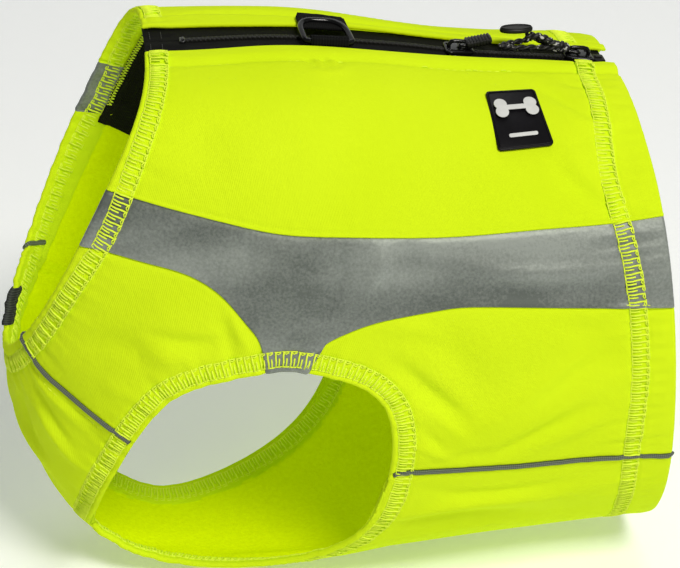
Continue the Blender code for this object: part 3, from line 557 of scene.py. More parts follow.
seamCurves = {(name, turn): seamCurve(name, turn) for turn in (1, -1)
              for name in ("zip edge", "band top", "band front", "band rear", "piping front",
                           "piping rear")}
topstitchCurves = {}
for turn in (1, -1):
    for name, (seam, off) in topstitches.items():
        curve = seamCurves[(seam, turn)].copy()
        curve[:, 1] += off * turn
        topstitchCurves[(name, turn)] = curve
    stations = np.linspace(0.004, 0.996, lineSteps["seam"])
    topstitchCurves[("back by zip", turn)] = alongStations(backTopstitch, stations) * (1, turn)

# How each panel lies at its seams: over, under, folded in, or down into a piped seam
seamRoles = {
    "back": {"zip edge": "fold", "band top": "over"},
    "band": {"band top": "under", "band front": "over", "band rear": "over"},
    "shoulder": {"band front": "under", "piping front": "piped"},
    "flank": {"band rear": "under", "piping rear": "piped"},
    "belly": {"piping front": "piped", "piping rear": "piped"},
}


def clothShape(grid, panel=None, turns=(1, -1)):
    # base points, normals, how far the outer face is lifted, how deep the inner face
    # lies under it, and where the cloth is doubled in a hem
    u, g = grid[..., 0], grid[..., 1]
    base, normal = readForm(formGrid, u, g), readForm(formNormal, u, g)
    lift = foldLift(base) + creaseLift(base, normal)
    hem, edge = np.zeros(u.shape), np.full(u.shape, outOfReach)
    hems = [(name, curve, wholeCover(name), False) for name, curve in hemLines.items()]
    hems += [("armhole", armLoops[side], armCovers[side], True)
             for side, turn in (("left", 1), ("right", -1)) if turn in turns]
    for name, curve, cover, closed in hems:
        d, along = lineDistance(base, curve, closed)
        turned, fade = hemDepths[name], cloth["hemFade"]
        hem = np.maximum(hem, 1 - smoothStep(d, turned - fade, turned + fade))
        edge = np.minimum(edge, d)
        centre = lineDistance(base, cover, closed)[0]
        lift += coverRelief(centre, along, cloth["puckerWidth"]["armhole" if closed else "hem"])
        lift += swell(d, *cloth["armholePuff" if closed else "puff"])
        if not closed:
            height, middle, breadth, shift = cloth["hemRipple"]
            lift += swell(d, ripple(along, height, shift), middle, breadth)
    for (name, turn), curve in topstitchCurves.items():
        if turn not in turns:
            continue
        d, along = lineDistance(base, curve, reach=cloth["seamReach"])
        lift -= swell(d, *cloth["topstitchDip"])
        height, middle, breadth, shift = cloth["topstitchRipple"]
        lift += swell(d, ripple(along, height, shift), middle, breadth)
        if name == "back by zip":            # the strip beside the zip lies flat and firm
            lift -= swell(d, *cloth["zipGroove"])
            strip = np.abs(g) < np.interp(u, curve[:, 0], np.abs(curve[:, 1]))
            roll, low, high = cloth["zipRoll"]
            lift += np.where(strip, roll * smoothStep(d, low, high), 0)
        elif name.startswith("belly"):
            lift += swell(d, *cloth["bellyRidge"])
    depth = cloth["thickness"] + (cloth["hemThickness"] - cloth["thickness"]) * hem
    roles = seamRoles[panel].items() if panel else ()
    for name, role in roles:
        for turn in turns:
            d = lineDistance(base, seamCurves[(name, turn)], reach=cloth["seamReach"])[0]
            if role == "over":
                drop, low, high = cloth["overEnd"]
                lift += swell(d, *cloth["over"]) - drop * (1 - smoothStep(d, low, high))
            elif role == "fold":
                edge = np.minimum(edge, d)
                folded = cloth["thickness"] + cloth["foldDepth"]
                depth = np.where(d < cloth["foldWidth"], folded, depth)
            else:
                lift -= swell(d, *cloth[role])
    # the folded edge is round
    r = depth / 2
    turnIn = r * (1 - np.sqrt(np.clip(1 - ((r - edge) / r).clip(0, 1) ** 2, 0, 1)))
    return base, normal, lift - turnIn, depth - 2 * turnIn, hem


def coverRelief(centre, along, spread):
    # the valley under a coverstitch, with puckers beside it
    half = cloth["coverWidth"] / 2
    rail = swell(centre, cloth["railDip"], half, cloth["railWidth"])
    between = 1 - smoothStep(centre, half - 0.6, half + 0.6)
    pucker = swell(centre, ripple(along, cloth["pucker"]), half, spread)
    return pucker - rail - cloth["coverDip"] * between


def edgeSteps(length, spacing, last=True):
    # parameters along a side, finer beside its start and, unless it's left out, its end
    fine = np.array((0.0, 0.12, 0.3, 0.55, 0.85, 1.2, 1.7, 2.4))
    end = fine[-1] if last else 0
    count = max(2, int(round((length - fine[-1] - end) / spacing)))
    steps = [fine[:-1], np.linspace(fine[-1], length - end, count + 1)]
    if last:
        steps.append(length - fine[-2::-1])
    return np.concatenate(steps) / length


def onCurve(curve, t):                       # t runs from 0 to 1 by the line's points
    at = np.linspace(0, 1, len(curve))
    return np.stack([np.interp(t, at, curve[:, k]) for k in range(2)], axis=1)


def patch(top, bottom, left, right, t, s):   # a grid between four sides
    topRow, bottomRow = onCurve(top, t)[None], onCurve(bottom, t)[None]
    leftSide, rightSide = onCurve(left, s)[:, None], onCurve(right, s)[:, None]
    t, s = t[None, :, None], s[:, None, None]
    ruled = (1 - s) * topRow + s * bottomRow
    sides = (1 - t) * leftSide + t * rightSide
    corners = ((1 - s) * (1 - t) * top[0] + (1 - s) * t * top[-1]
               + s * (1 - t) * bottom[0] + s * t * bottom[-1])
    return ruled + sides - corners


def newMesh(name, points, faces, materials, faceMaterial=None, mapping=None):
    mesh = bpy.data.meshes.new(name)
    mesh.from_pydata(np.asarray(points) * mm, [], faces)
    for material in materials:
        mesh.materials.append(material)
    if faceMaterial is not None:
        mesh.polygons.foreach_set("material_index", np.asarray(faceMaterial, dtype=np.int32))
    if mapping is not None:
        cover = mesh.uv_layers.new(name="clothMap")
        corners = np.zeros(len(mesh.loops), dtype=np.int32)
        mesh.loops.foreach_get("vertex_index", corners)
        cover.data.foreach_set("uv", np.asarray(mapping)[corners].ravel())
    mesh.validate()
    mesh.shade_smooth()
    thing = bpy.data.objects.new(name, mesh)
    bpy.context.scene.collection.objects.link(thing)
    return thing


def outward(thing):
    # faces outwards, checked by the volume's sign
    shape = bmesh.new()
    shape.from_mesh(thing.data)
    bmesh.ops.recalc_face_normals(shape, faces=shape.faces)
    if shape.calc_volume(signed=True) < 0:
        bmesh.ops.reverse_faces(shape, faces=shape.faces)
    shape.to_mesh(thing.data)
    shape.free()
    return thing


def wallFaces(rows, columns):
    # quads of an outer grid, an inner grid and the rim between them, as arrays
    k = (np.arange(rows - 1)[:, None] * columns + np.arange(columns - 1)[None]).ravel()
    outer = np.stack([k, k + columns, k + columns + 1, k + 1], axis=1)
    count = rows * columns
    inner = outer[:, ::-1] + count
    rim = np.concatenate([np.arange(columns), np.arange(1, rows) * columns + columns - 1,
                          (rows - 1) * columns + np.arange(columns - 2, -1, -1),
                          np.arange(rows - 2, 0, -1) * columns])
    after = np.roll(rim, -1)
    edge = np.stack([rim, after, after + count, rim + count], axis=1)
    return outer, inner, edge


def finish(piece, body, slot, *nodes):
    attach(piece, body)
    if nodes:
        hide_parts(*nodes)
    return piece


def clothMap(grid):
    # metres along the body and round it, for a weave that follows the cloth
    return (grid * (bodyForm["mapLength"], mm)).reshape(-1, 2)


def makeShell(name, outer, inner, mapping, materials, faceMaterial=None):
    # a thin closed wall between two grids of points
    points = np.concatenate([outer.reshape(-1, 3), inner.reshape(-1, 3)])
    faces = np.concatenate(wallFaces(*outer.shape[:2])).tolist()
    return outward(newMesh(name, points, faces, materials, faceMaterial,
                           np.concatenate([mapping, mapping])))


def makePanel(name, grid, panel, turns, outerMaterial, innerMaterial):
    base, normal, lift, depth, hem = clothShape(grid, panel, turns)
    outer, _, edge = wallFaces(*grid.shape[:2])
    # the inner face shows the outer cloth where a hem is turned in
    doubled = hem.reshape(-1)[outer].mean(1) > 0.5
    material = np.concatenate([np.zeros(len(outer)), np.where(doubled, 0, 1),
                               np.zeros(len(edge))])
    return makeShell(name, base + normal * lift[..., None],
                     base + normal * (lift - depth)[..., None], clothMap(grid),
                     [outerMaterial, innerMaterial], material)


# Finishes
def newMaterial(name, colour, roughness, **sockets):
    material = bpy.data.materials.new(name)
    material.use_nodes = True
    shader = shaderOf(material)
    shader.inputs["Base Color"].default_value = (*colour, 1.0)
    shader.inputs["Roughness"].default_value = roughness
    for label, value in sockets.items():
        shader.inputs[label].default_value = value
    material.diffuse_color = (*colour, 1.0)
    return material


def node(material, kind, links=(), **settings):
    made = material.node_tree.nodes.new(kind)
    for key, value in settings.items():
        setattr(made, key, value)
    for label, source in links:
        material.node_tree.links.new(source, made.inputs[label])
    return made


def shaderOf(material):
    return material.node_tree.nodes["Principled BSDF"]


def shine(material, level):
    shaderOf(material).inputs["Specular IOR Level"].default_value = level


def glow(material, colour, strength):        # an emission from no lamp; on the cloths and thread it is painted light that lifts their shade
    shaderOf(material).inputs["Emission Color"].default_value = (*colour, 1)
    shaderOf(material).inputs["Emission Strength"].default_value = strength


def tint(material, factor, first, second, low=0.3, high=0.7):
    # the base colour runs between two colours as a pattern's value goes from low to high
    span = node(material, "ShaderNodeMapRange", [("Value", factor)])
    span.inputs["From Min"].default_value, span.inputs["From Max"].default_value = low, high
    mix = node(material, "ShaderNodeMix", data_type="RGBA")
    colours = [s for s in mix.inputs if s.type == "RGBA"]
    colours[0].default_value, colours[1].default_value = (*first, 1), (*second, 1)
    material.node_tree.links.new(span.outputs[0], mix.inputs[0])
    out = [s for s in mix.outputs if s.type == "RGBA"][0]
    material.node_tree.links.new(out, shaderOf(material).inputs["Base Color"])


def bump(material, height, distance, under=None):
    made = node(material, "ShaderNodeBump", [("Height", height)])
    made.inputs["Distance"].default_value = distance
    made.inputs["Strength"].default_value = 1.0
    if under is not None:
        material.node_tree.links.new(under.outputs["Normal"], made.inputs["Normal"])
    material.node_tree.links.new(made.outputs["Normal"], shaderOf(material).inputs["Normal"])
    return made


def coordinates(material, own=False):
    kind = node(material, "ShaderNodeTexCoord")
    return kind.outputs["UV" if own else "Object"]


def noise(material, where, scale, detail, rough=0.5):
    made = node(material, "ShaderNodeTexNoise", [("Vector", where)])
    made.inputs["Scale"].default_value = scale
    made.inputs["Detail"].default_value = detail
    made.inputs["Roughness"].default_value = rough
    return made.outputs[0]


def weave(material, where, pitch, angle=0.0):
    # crossed threads of this pitch, in metres
    waveLength = 0.314        # of a wave texture whose scale is 1, for one thread
    turned = node(material, "ShaderNodeMapping", [("Vector", where)])
    turned.inputs["Rotation"].default_value = (0, 0, angle)
    heights = []
    for direction in ("X", "Y"):
        wave = node(material, "ShaderNodeTexWave", [("Vector", turned.outputs[0])])
        wave.bands_direction = direction
        wave.inputs["Scale"].default_value = waveLength / pitch
        wave.inputs["Distortion"].default_value = 0.4
        wave.inputs["Detail"].default_value = 0.0
        heights.append(wave.outputs["Fac"])
    return node(material, "ShaderNodeMath", enumerate(heights), operation="ADD").outputs[0]


# Colours, the patches of shade, the grain of the surface and the weave, in metres
# the glow and its colour on the softshell and the fleece are painted light, lifting their shade
softshell = {"lit": (0.69, 0.90, 0.014), "deep": (0.65, 0.865, 0.009), "paintedGlowColour": (0.68, 0.88, 0.0),
             "glow": 0.03, "shine": 0.05, "patch": 14.0, "grain": 420.0, "knit": 0.0006}
fleece = {"lit": (0.66, 0.81, 0.002), "deep": (0.60, 0.75, 0.002), "paintedGlowColour": (0.64, 0.82, 0.0),
          "glow": 0.17, "shine": 0.0, "patch": 520.0, "pile": 620.0}
# the grey cloth's light and dark colours are painted sheen, streaks of reflection laid into its
# colour
bandCloth = {"light": (0.32, 0.35, 0.32), "dark": (0.12, 0.137, 0.123), "shine": 0.25,
             "sheen": 0.1, "patch": 27.0, "drawn": (0.55, 1.0, 1.3), "fleck": 900.0,
             "fleckShare": 0.35, "grain": 300.0, "weave": 0.00045}


def makeSoftshell(name, size):
    material = newMaterial(name, size["lit"], 0.85)
    shine(material, size["shine"])
    # painted light: a faint glow that lifts the softshell's shade
    glow(material, size["paintedGlowColour"], size["glow"])
    where = coordinates(material)
    tint(material, noise(material, where, size["patch"], 2.0), size["deep"], size["lit"])
    first = bump(material, noise(material, where, size["grain"], 2.0), 0.00022)
    knit = weave(material, coordinates(material, True), size["knit"], 0.6)
    bump(material, knit, 0.00006, first)
    return material


def makeFleece(name, size):
    material = newMaterial(name, size["lit"], 0.95)
    shine(material, size["shine"])
    # painted light: the glow brightens the inner face where the leg hole's shade falls
    glow(material, size["paintedGlowColour"], size["glow"])
    where = coordinates(material)
    tint(material, noise(material, where, size["patch"], 3.0), size["deep"], size["lit"])
    bump(material, noise(material, where, size["pile"], 3.0, 0.6), 0.0005)
    return material


def makeBandCloth(name, size):
    # painted sheen: light and dark streaks drawn out along the body, with fine flecks over them,
    # stand in for the reflective cloth's changing reflection
    material = newMaterial(name, size["light"], 0.5, Metallic=0.35)
    shine(material, size["shine"])
    shaderOf(material).inputs["Sheen Weight"].default_value = size["sheen"]
    where = coordinates(material)
    drawn = node(material, "ShaderNodeMapping", [("Vector", where)])
    drawn.inputs["Scale"].default_value = size["drawn"]
    sheenStreaks = noise(material, drawn.outputs[0], size["patch"], 2.0)
    fine = noise(material, where, size["fleck"], 2.0, 0.6)
    both = node(material, "ShaderNodeMath", [(0, fine), (2, sheenStreaks)], operation="MULTIPLY_ADD")
    both.inputs[1].default_value = size["fleckShare"]
    tint(material, both.outputs[0], size["dark"], size["light"], 0.48, 0.84)
    first = bump(material, noise(material, where, size["grain"], 3.0), 0.00016)
    bump(material, weave(material, coordinates(material, True), size["weave"]), 0.000015, first)
    return material


def makePlain(name, colour, roughness, grain, depth, change=0.2):
    # a moulded, coated or twisted surface with fine grain and slight changes of shade
    material = newMaterial(name, colour, roughness)
    where = coordinates(material)
    tint(material, noise(material, where, grain * 0.25, 2.0),
         tuple(c * (1 - change) for c in colour), tuple(min(1, c * (1 + change)) for c in colour))
    bump(material, noise(material, where, grain, 2.0), depth)
    return material


yellowShell = makeSoftshell("yellow softshell", softshell)
yellowFleece = makeFleece("yellow fleece back", fleece)
greyBand = makeBandCloth("reflective grey cloth", bandCloth)
greyFleece = makeFleece("fleece behind the band", fleece)
thread = makePlain("sewing thread", (0.755, 0.915, 0.065), 0.85, 2600.0, 0.00004, 0.06)
# painted light: the threads glow a little, lifting their shaded sides
glow(thread, (0.7, 0.9, 0.05), 0.06)
shine(thread, 0.05)


def makeWoven(name, colour, pitch, depth, roughness=0.85, turn=0.0):
    # tape and webbing, with crossed threads laid along the piece's own map
    material = newMaterial(name, colour, roughness)
    threads = weave(material, coordinates(material, True), pitch, turn)
    tint(material, threads, tuple(c * 0.55 for c in colour), tuple(c * 1.5 for c in colour),
         0.5, 1.5)
    rough = bump(material, noise(material, coordinates(material), 1500.0, 2.0), 0.00004)
    bump(material, threads, depth, rough)
    return material


def makeGlintSpotted(name, dark, pale, scale, share):
    # black cord with painted highlights: pale spots here and there stand in for glints on the
    # glossy strands
    material = newMaterial(name, dark, 0.5)
    spots = noise(material, coordinates(material), scale, 1.0)
    tint(material, spots, dark, pale, 1 - share, 1 - share + 0.03)
    bump(material, noise(material, coordinates(material), 1900.0, 2.0), 0.00012)
    return material


zipTapeCloth = makeWoven("black zip tape", (0.0042, 0.0045, 0.0036), 0.0007, 0.00008, turn=0.78)
webbingCloth = makeWoven("black webbing", (0.0042, 0.0045, 0.0042), 0.0011, 0.00015)
facingCloth = makeWoven("black neck facing", (0.008, 0.009, 0.006), 0.0009, 0.00010)
tabCloth = makeWoven("grey tab webbing", (0.045, 0.050, 0.044), 0.0013, 0.00018)
pipingCloth = makeWoven("grey reflective piping", (0.095, 0.115, 0.088), 0.0008, 0.00006, 0.5)
toothPlastic = makePlain("black zip teeth", (0.009, 0.009, 0.008), 0.4, 900.0, 0.00002)
blackMetal = makePlain("black painted metal", (0.004, 0.004, 0.0045), 0.2, 500.0, 0.00002)
pullRubber = makePlain("black moulded rubber", (0.006, 0.006, 0.0055), 0.42, 900.0, 0.00005)
labelRubber = makePlain("black label rubber", (0.006, 0.0055, 0.007), 0.34, 800.0, 0.00003)
labelPale = makePlain("pale grey label print", (0.62, 0.63, 0.62), 0.6, 900.0, 0.00003, 0.06)
# the cord's pale spots are painted highlights
cordWithPaintedGlints = makeGlintSpotted("black cord with painted glints", (0.008, 0.008, 0.008), (0.55, 0.55, 0.52), 700.0,
                        0.37)
darkThread = makePlain("dark sewing thread", (0.03, 0.032, 0.03), 0.6, 2600.0, 0.00004)
for material in (zipTapeCloth, webbingCloth, facingCloth, tabCloth, labelRubber, toothPlastic):
    shine(material, 0.12)
for material in (blackMetal, pullRubber):
    shine(material, 0.3)

# Panels
print("making the panels")

def upperCurve(name):
    # its points lie closer together over the leg hole, where the band below it is narrow
    stations = np.concatenate([np.linspace(0, 0.405, 13), np.linspace(0.405, 0.5, 4)[1:],
                               np.linspace(0.5, 1, 16)[1:]])
    knots = np.arange(len(stations))
    fine = np.interp(np.linspace(0, knots[-1], lineSteps["upperEdge"] + 1), knots, stations)
    return alongStations(seamTables[name], fine)


def sideBorders():
    # each panel's upper edge, lower edge, front end and rear end, on the left side
    steps = lineSteps
    front = throughPoints(seamTables["band front"], steps["front"])
    rear = throughPoints(seamTables["band rear"], steps["rear"])
    arm = armholeEdge("band front", "band rear", steps["armholeTop"])
    lower = np.concatenate([front, arm[1:], rear[1:]])
    upper, edge, farEdge = map(upperCurve, ("band top", "zip edge", "far zip edge"))
    pipeFront = throughPoints(seamTables["piping front"], steps["front"])
    pipeRear = throughPoints(seamTables["piping rear"], steps["rear"])
    armFront = armholeEdge("front piping", "band front", steps["armholeSide"])[::-1]
    armRear = armholeEdge("band rear", "rear piping", steps["armholeSide"])
    under = armholeEdge("rear piping", "front piping", steps["underLeg"])[::-1]
    sides = {"back": (edge, upper), "far back": (farEdge, upper), "band": (upper, lower),
             "shoulder": (front, pipeFront), "flank": (rear, pipeRear)}
    whole = {name: [top, bottom, straight(top[0], bottom[0]), straight(top[-1], bottom[-1])]
             for name, (top, bottom) in sides.items()}
    whole["shoulder"][3], whole["flank"][2] = armFront, armRear
    whole["belly"] = (pipeFront, under, pipeRear)
    return whole


borders = sideBorders()


def panelGrid(panel):
    top, bottom, left, right = borders[panel]
    across = (lengthOf(top) + lengthOf(bottom)) / 2
    down = (lengthOf(left) + lengthOf(right)) / 2
    return patch(top, bottom, left, right, edgeSteps(across, cloth["spacing"]),
                 edgeSteps(down, cloth["spacing"]))


def bellyPanelGrid():
    pipeFront, under, pipeRear = borders["belly"]
    left = np.concatenate([pipeFront, under[1:], pipeRear[1:]])
    # stations of the belly's middle that lie across from the leg hole's two ends
    opposite = (0, 0.27, 0.67, 1)
    last = len(left) - 1
    corners = (0, len(pipeFront) - 1, len(pipeFront) + len(under) - 2, last)
    middle = np.interp(np.arange(len(left)), corners, opposite)
    bottom = np.stack([middle, halfGirth(middle)], axis=1)
    half = patch(left, bottom, straight(left[0], bottom[0]), straight(left[-1], bottom[-1]),
                 edgeSteps(lengthOf(left), cloth["bellySpacing"]),
                 edgeSteps(cloth["bellyDepth"], cloth["bellySpacing"], last=False))
    other = half[-2::-1].copy()              # the right half
    other[..., 1] = 2 * halfGirth(other[..., 0]) - other[..., 1]
    return np.concatenate([half, other])


# Each panel, on the left and the right side
for panel in ("back", "band", "shoulder", "flank"):
    for side, turn in (("left", 1), ("right", -1)):
        name = f"{panel}_{side}"
        grid = panelGrid("far back" if name == "back_right" else panel)
        outer, inner = (greyBand, greyFleece) if panel == "band" else (yellowShell, yellowFleece)
        piece = makePanel(name + "_cloth", grid * (1, turn), panel, (turn,), outer, inner)
        finish(piece, "vest", "reflective_fabric" if panel == "band" else "hi_vis_softshell",
               name)
piece = makePanel("belly_cloth", bellyPanelGrid(), "belly", (1, -1), yellowShell, yellowFleece)
finish(piece, "vest", "hi_vis_softshell", "belly")


# Rows of small pieces along a path, made with Geometry Nodes
def rowTree():
    tree = bpy.data.node_groups.new("row along a path", "GeometryNodeTree")
    face = tree.interface
    face.new_socket("Geometry", in_out="INPUT", socket_type="NodeSocketGeometry")
    for label, kind, value in (("Piece", "NodeSocketObject", None),
                               ("Spacing", "NodeSocketFloat", 0.003),
                               ("Size change", "NodeSocketFloat", 0.06),
                               ("Turn change", "NodeSocketFloat", 0.05),
                               ("Seed", "NodeSocketInt", 3),
                               ("Material", "NodeSocketMaterial", None)):
        socket = face.new_socket(label, in_out="INPUT", socket_type=kind)
        if value is not None:
            socket.default_value = value
    face.new_socket("Geometry", in_out="OUTPUT", socket_type="NodeSocketGeometry")
    add, link = tree.nodes.new, tree.links.new
    start, end = add("NodeGroupInput"), add("NodeGroupOutput")
    curve = add("GeometryNodeMeshToCurve")
    link(start.outputs["Geometry"], curve.inputs[0])
    resample = add("GeometryNodeResampleCurve")
    resample.mode = "LENGTH"
    link(curve.outputs[0], resample.inputs["Curve"])
    link(start.outputs["Spacing"], resample.inputs["Length"])
    tangent = add("GeometryNodeInputTangent")
    up = add("GeometryNodeInputNamedAttribute")
    up.data_type = "FLOAT_VECTOR"
    up.inputs["Name"].default_value = "up"
    first = add("FunctionNodeAlignRotationToVector")
    first.axis = "X"
    link(tangent.outputs[0], first.inputs["Vector"])
    second = add("FunctionNodeAlignRotationToVector")
    second.axis, second.pivot_axis = "Z", "X"
    link(first.outputs[0], second.inputs["Rotation"])
    link(up.outputs["Attribute"], second.inputs["Vector"])

    def uneven(middle, label):
        # a random value, up to the input's value to each side of a middle
        chance = add("FunctionNodeRandomValue")
        chance.data_type = "FLOAT"
        ends = [s for s in chance.inputs if s.type == "VALUE" and s.name in ("Min", "Max")]
        for operation, socket in zip(("SUBTRACT", "ADD"), ends):
            limit = add("ShaderNodeMath")
            limit.operation = operation
            limit.inputs[0].default_value = middle
            link(start.outputs[label], limit.inputs[1])
            link(limit.outputs[0], socket)
        link(start.outputs["Seed"], chance.inputs["Seed"])
        return [s for s in chance.outputs if s.type == "VALUE"][0]

    spin = add("FunctionNodeAxisAngleToRotation")
    spin.inputs["Axis"].default_value = (0, 0, 1)
    link(uneven(0.0, "Turn change"), spin.inputs["Angle"])
    rotate = add("FunctionNodeRotateRotation")
    rotate.rotation_space = "LOCAL"
    link(second.outputs[0], rotate.inputs["Rotation"])
    link(spin.outputs[0], rotate.inputs["Rotate By"])
    piece = add("GeometryNodeObjectInfo")
    link(start.outputs["Piece"], piece.inputs["Object"])
    place = add("GeometryNodeInstanceOnPoints")
    link(resample.outputs[0], place.inputs["Points"])
    link(piece.outputs["Geometry"], place.inputs["Instance"])
    link(rotate.outputs[0], place.inputs["Rotation"])
    link(uneven(1.0, "Size change"), place.inputs["Scale"])
    real = add("GeometryNodeRealizeInstances")
    link(place.outputs[0], real.inputs[0])
    paint = add("GeometryNodeSetMaterial")
    link(real.outputs[0], paint.inputs["Geometry"])
    link(start.outputs["Material"], paint.inputs["Material"])
    link(paint.outputs[0], end.inputs[0])
    return tree


rows = rowTree()


def rowAlong(name, paths, piece, spacing, material, sizeChange=0.05, turnChange=0.04, seed=3):
    # paths: (points in mm, normals, closed)
    points, normals, edges = [], [], []
    for path, up, closed in paths:
        start = len(points)
        points += (np.asarray(path) * mm).tolist()
        normals += np.asarray(up).tolist()
        edges += [(start + k, start + k + 1) for k in range(len(path) - 1)]
        if closed:
            edges.append((start + len(path) - 1, start))
    mesh = bpy.data.meshes.new(name + "Path")
    mesh.from_pydata(points, edges, [])
    upward = mesh.attributes.new("up", "FLOAT_VECTOR", "POINT")
    upward.data.foreach_set("vector", np.array(normals).ravel())
    carrier = bpy.data.objects.new(name + "Path", mesh)
    bpy.context.scene.collection.objects.link(carrier)
    modifier = carrier.modifiers.new("rows", "NODES")
    modifier.node_group = rows
    values = {"Piece": piece, "Spacing": spacing * mm, "Size change": sizeChange,
              "Turn change": turnChange, "Seed": seed, "Material": material}
    for socket in rows.interface.items_tree:
        if socket.in_out == "INPUT" and socket.name in values:
            modifier[socket.identifier] = values[socket.name]
    graph = bpy.context.evaluated_depsgraph_get()
    result = bpy.data.meshes.new_from_object(carrier.evaluated_get(graph), depsgraph=graph)
    result.name = name
    bpy.data.objects.remove(carrier, do_unlink=True)
    thing = bpy.data.objects.new(name, result)
    bpy.context.scene.collection.objects.link(thing)
    if not result.materials:
        result.materials.append(material)
    result.shade_smooth()
    return thing


def tube(path, radius, sides, closed=False, flat=1.0, reference=(0.0, 0.0, 1.0)):
    # points and faces of a thread, cord or rod through points; flat squeezes its height
    path = np.asarray(path, float)
    along = np.roll(path, -1, 0) - np.roll(path, 1, 0) if closed else np.gradient(path, axis=0)
    along /= np.linalg.norm(along, axis=1, keepdims=True)
    side = np.cross(along, np.broadcast_to(reference, path.shape))
    side /= np.linalg.norm(side, axis=1, keepdims=True)
    up = np.cross(side, along)
    radius = np.broadcast_to(radius, len(path))
    angle = np.linspace(0, 2 * pi, sides, endpoint=False)
    rings = (path[:, None] + radius[:, None, None]
             * (np.cos(angle)[None, :, None] * side[:, None]
                + flat * np.sin(angle)[None, :, None] * up[:, None]))
    count = len(path)
    faces = []
    for j in range(count if closed else count - 1):
        for k in range(sides):
            a, b = j * sides + k, j * sides + (k + 1) % sides
            c = (j + 1) % count * sides - j * sides
            faces.append((a, b, b + c, a + c))
    if not closed:
        faces.append(tuple(reversed(range(sides))))
        faces.append(tuple(range((count - 1) * sides, count * sides)))
    return rings.reshape(-1, 3), faces


def joined(parts):
    points, faces, count = [], [], 0
    for some, found in parts:
        points.append(np.asarray(some, float))
        faces += [tuple(k + count for k in face) for face in found]
        count += len(some)
    return np.concatenate(points), faces


def template(name, parts):
    # a small piece for a row, hidden and removed once its rows are made
    points, faces = joined(parts)
    thing = outward(newMesh(name, points, faces, [thread]))
    thing.hide_render = True
    return thing


# Stitches
stitches = {
    "coverPitch": 2.9,        # length of a coverstitch
    "coverThread": 0.30,
    "needleLength": 2.3,      # a topstitch's visible thread
    "needlePitch": 3.0,
    "needleThread": 0.2,
    "above": -0.04,           # the cloth; they are pulled into it a little
    "bandInset": 1.5,         # topstitches on the band, from its lower edge
}


def coverPiece(size):
    half, pitch, r = cloth["coverWidth"] / 2, size["coverPitch"], size["coverThread"]
    parts = []
    for y in (-half, half):                  # the two needle threads
        parts.append(tube([(-0.5 * pitch, y, -0.15), (-0.25 * pitch, y, 0.16),
                           (0.2 * pitch, y, 0.16), (0.45 * pitch, y, -0.1)], r * 0.9, 5))
    # the looper's thread, across, then back part of the way
    parts.append(tube([(-0.40 * pitch, -half - 0.2, 0.1), (-0.30 * pitch, -0.9, 0.34),
                       (-0.34 * pitch, 0.9, 0.34), (-0.28 * pitch, half + 0.2, 0.1)],
                      r * 1.2, 5))
    parts.append(tube([(0.02 * pitch, -half - 0.1, 0.1), (0.10 * pitch, -half * 0.5, 0.3),
                       (0.14 * pitch, half * 0.15, 0.22)], r * 1.05, 5))
    parts.append(tube([(-0.30 * pitch, half * 0.9, 0.2), (0.05 * pitch, half * 0.72, 0.3),
                       (0.42 * pitch, half * 0.9, 0.15)], r * 0.85, 5))
    return template("coverPiece", parts)


def needlePiece(size):
    half, r = size["needleLength"] / 2, size["needleThread"]
    path = [(-half, 0, -0.15), (-half * 0.6, 0, 0.08), (0, 0, 0.14), (half * 0.6, 0, 0.08),
            (half, 0, -0.15)]
    return template("needlePiece", [tube(path, (r * 0.7, r, r * 1.1, r, r * 0.7), 5)])


def stitchPath(curve, closed=False, inside=False, above=stitches["above"]):
    # a row's points on the cloth's outer or inner face, and its normals
    base, normal, lift, depth, _ = clothShape(curve)
    if inside:
        return base + normal * (lift - depth - above)[..., None], -normal, closed
    return base + normal * (lift + above)[..., None], normal, closed


def densely(curve, step=1.0):
    return evenly(curve, max(4, int(lengthOf(curve) / step)))


print("sewing")
coverOf, needleOf = coverPiece(stitches), needlePiece(stitches)
closedArm = {side: np.concatenate([loop, loop[:1]]) for side, loop in armCovers.items()}
hemRows = {
    "neck": ([densely(wholeCover("neck"))], False, 5),
    "rear": ([densely(wholeCover("rear"))], False, 5),
    "armhole": ([densely(loop)[:-1] for loop in closedArm.values()], True, 6),
}
for inside, word in ((False, "outside"), (True, "inside")):
    for name, (curves, closed, chance) in hemRows.items():
        lines = [stitchPath(curve, closed, inside) for curve in curves]
        row = rowAlong(f"{name}_stitching_{word}", lines, coverOf, stitches["coverPitch"], thread,
                       seed=chance)
        finish(row, "vest", "hi_vis_softshell")
lines = [stitchPath(densely(curve)[3:-3]) for curve in topstitchCurves.values()]
row = rowAlong("topstitching", lines, needleOf, stitches["needlePitch"], thread, seed=7)
finish(row, "vest", "hi_vis_softshell")
lines = []
for turn in (1, -1):
    for name in ("band front", "band rear"):
        shifted = offEdge(seamCurves[(name, turn)][2:-2], stitches["bandInset"], -turn)
        lines.append(stitchPath(densely(shifted[2:-2])))
row = rowAlong("band_topstitching", lines, needleOf, stitches["needlePitch"], thread, seed=8)
finish(row, "vest", "reflective_fabric")
for thing in (coverOf, needleOf):
    bpy.data.objects.remove(thing, do_unlink=True)

# Shapes shared by the small parts, in millimetres
def stationAt(x):
    # the station where the centre line of the back passes this x
    station = np.linspace(0, 1, lineSteps["centreLine"])
    line = place(np.stack([station, np.zeros(len(station))], axis=1))
    return np.interp(x, line[:, 0], station)


def backFrame(x):
    # origin, along, across and up where the centre line of the back passes this x
    at = stationAt(x)
    before, origin, after = place(np.array(((at - 0.02, 0.0), (at, 0.0), (at + 0.02, 0.0))))
    along = (after - before) / np.linalg.norm(after - before)
    return origin, along, np.array((0.0, 1.0, 0.0)), np.cross(along, (0.0, 1.0, 0.0))


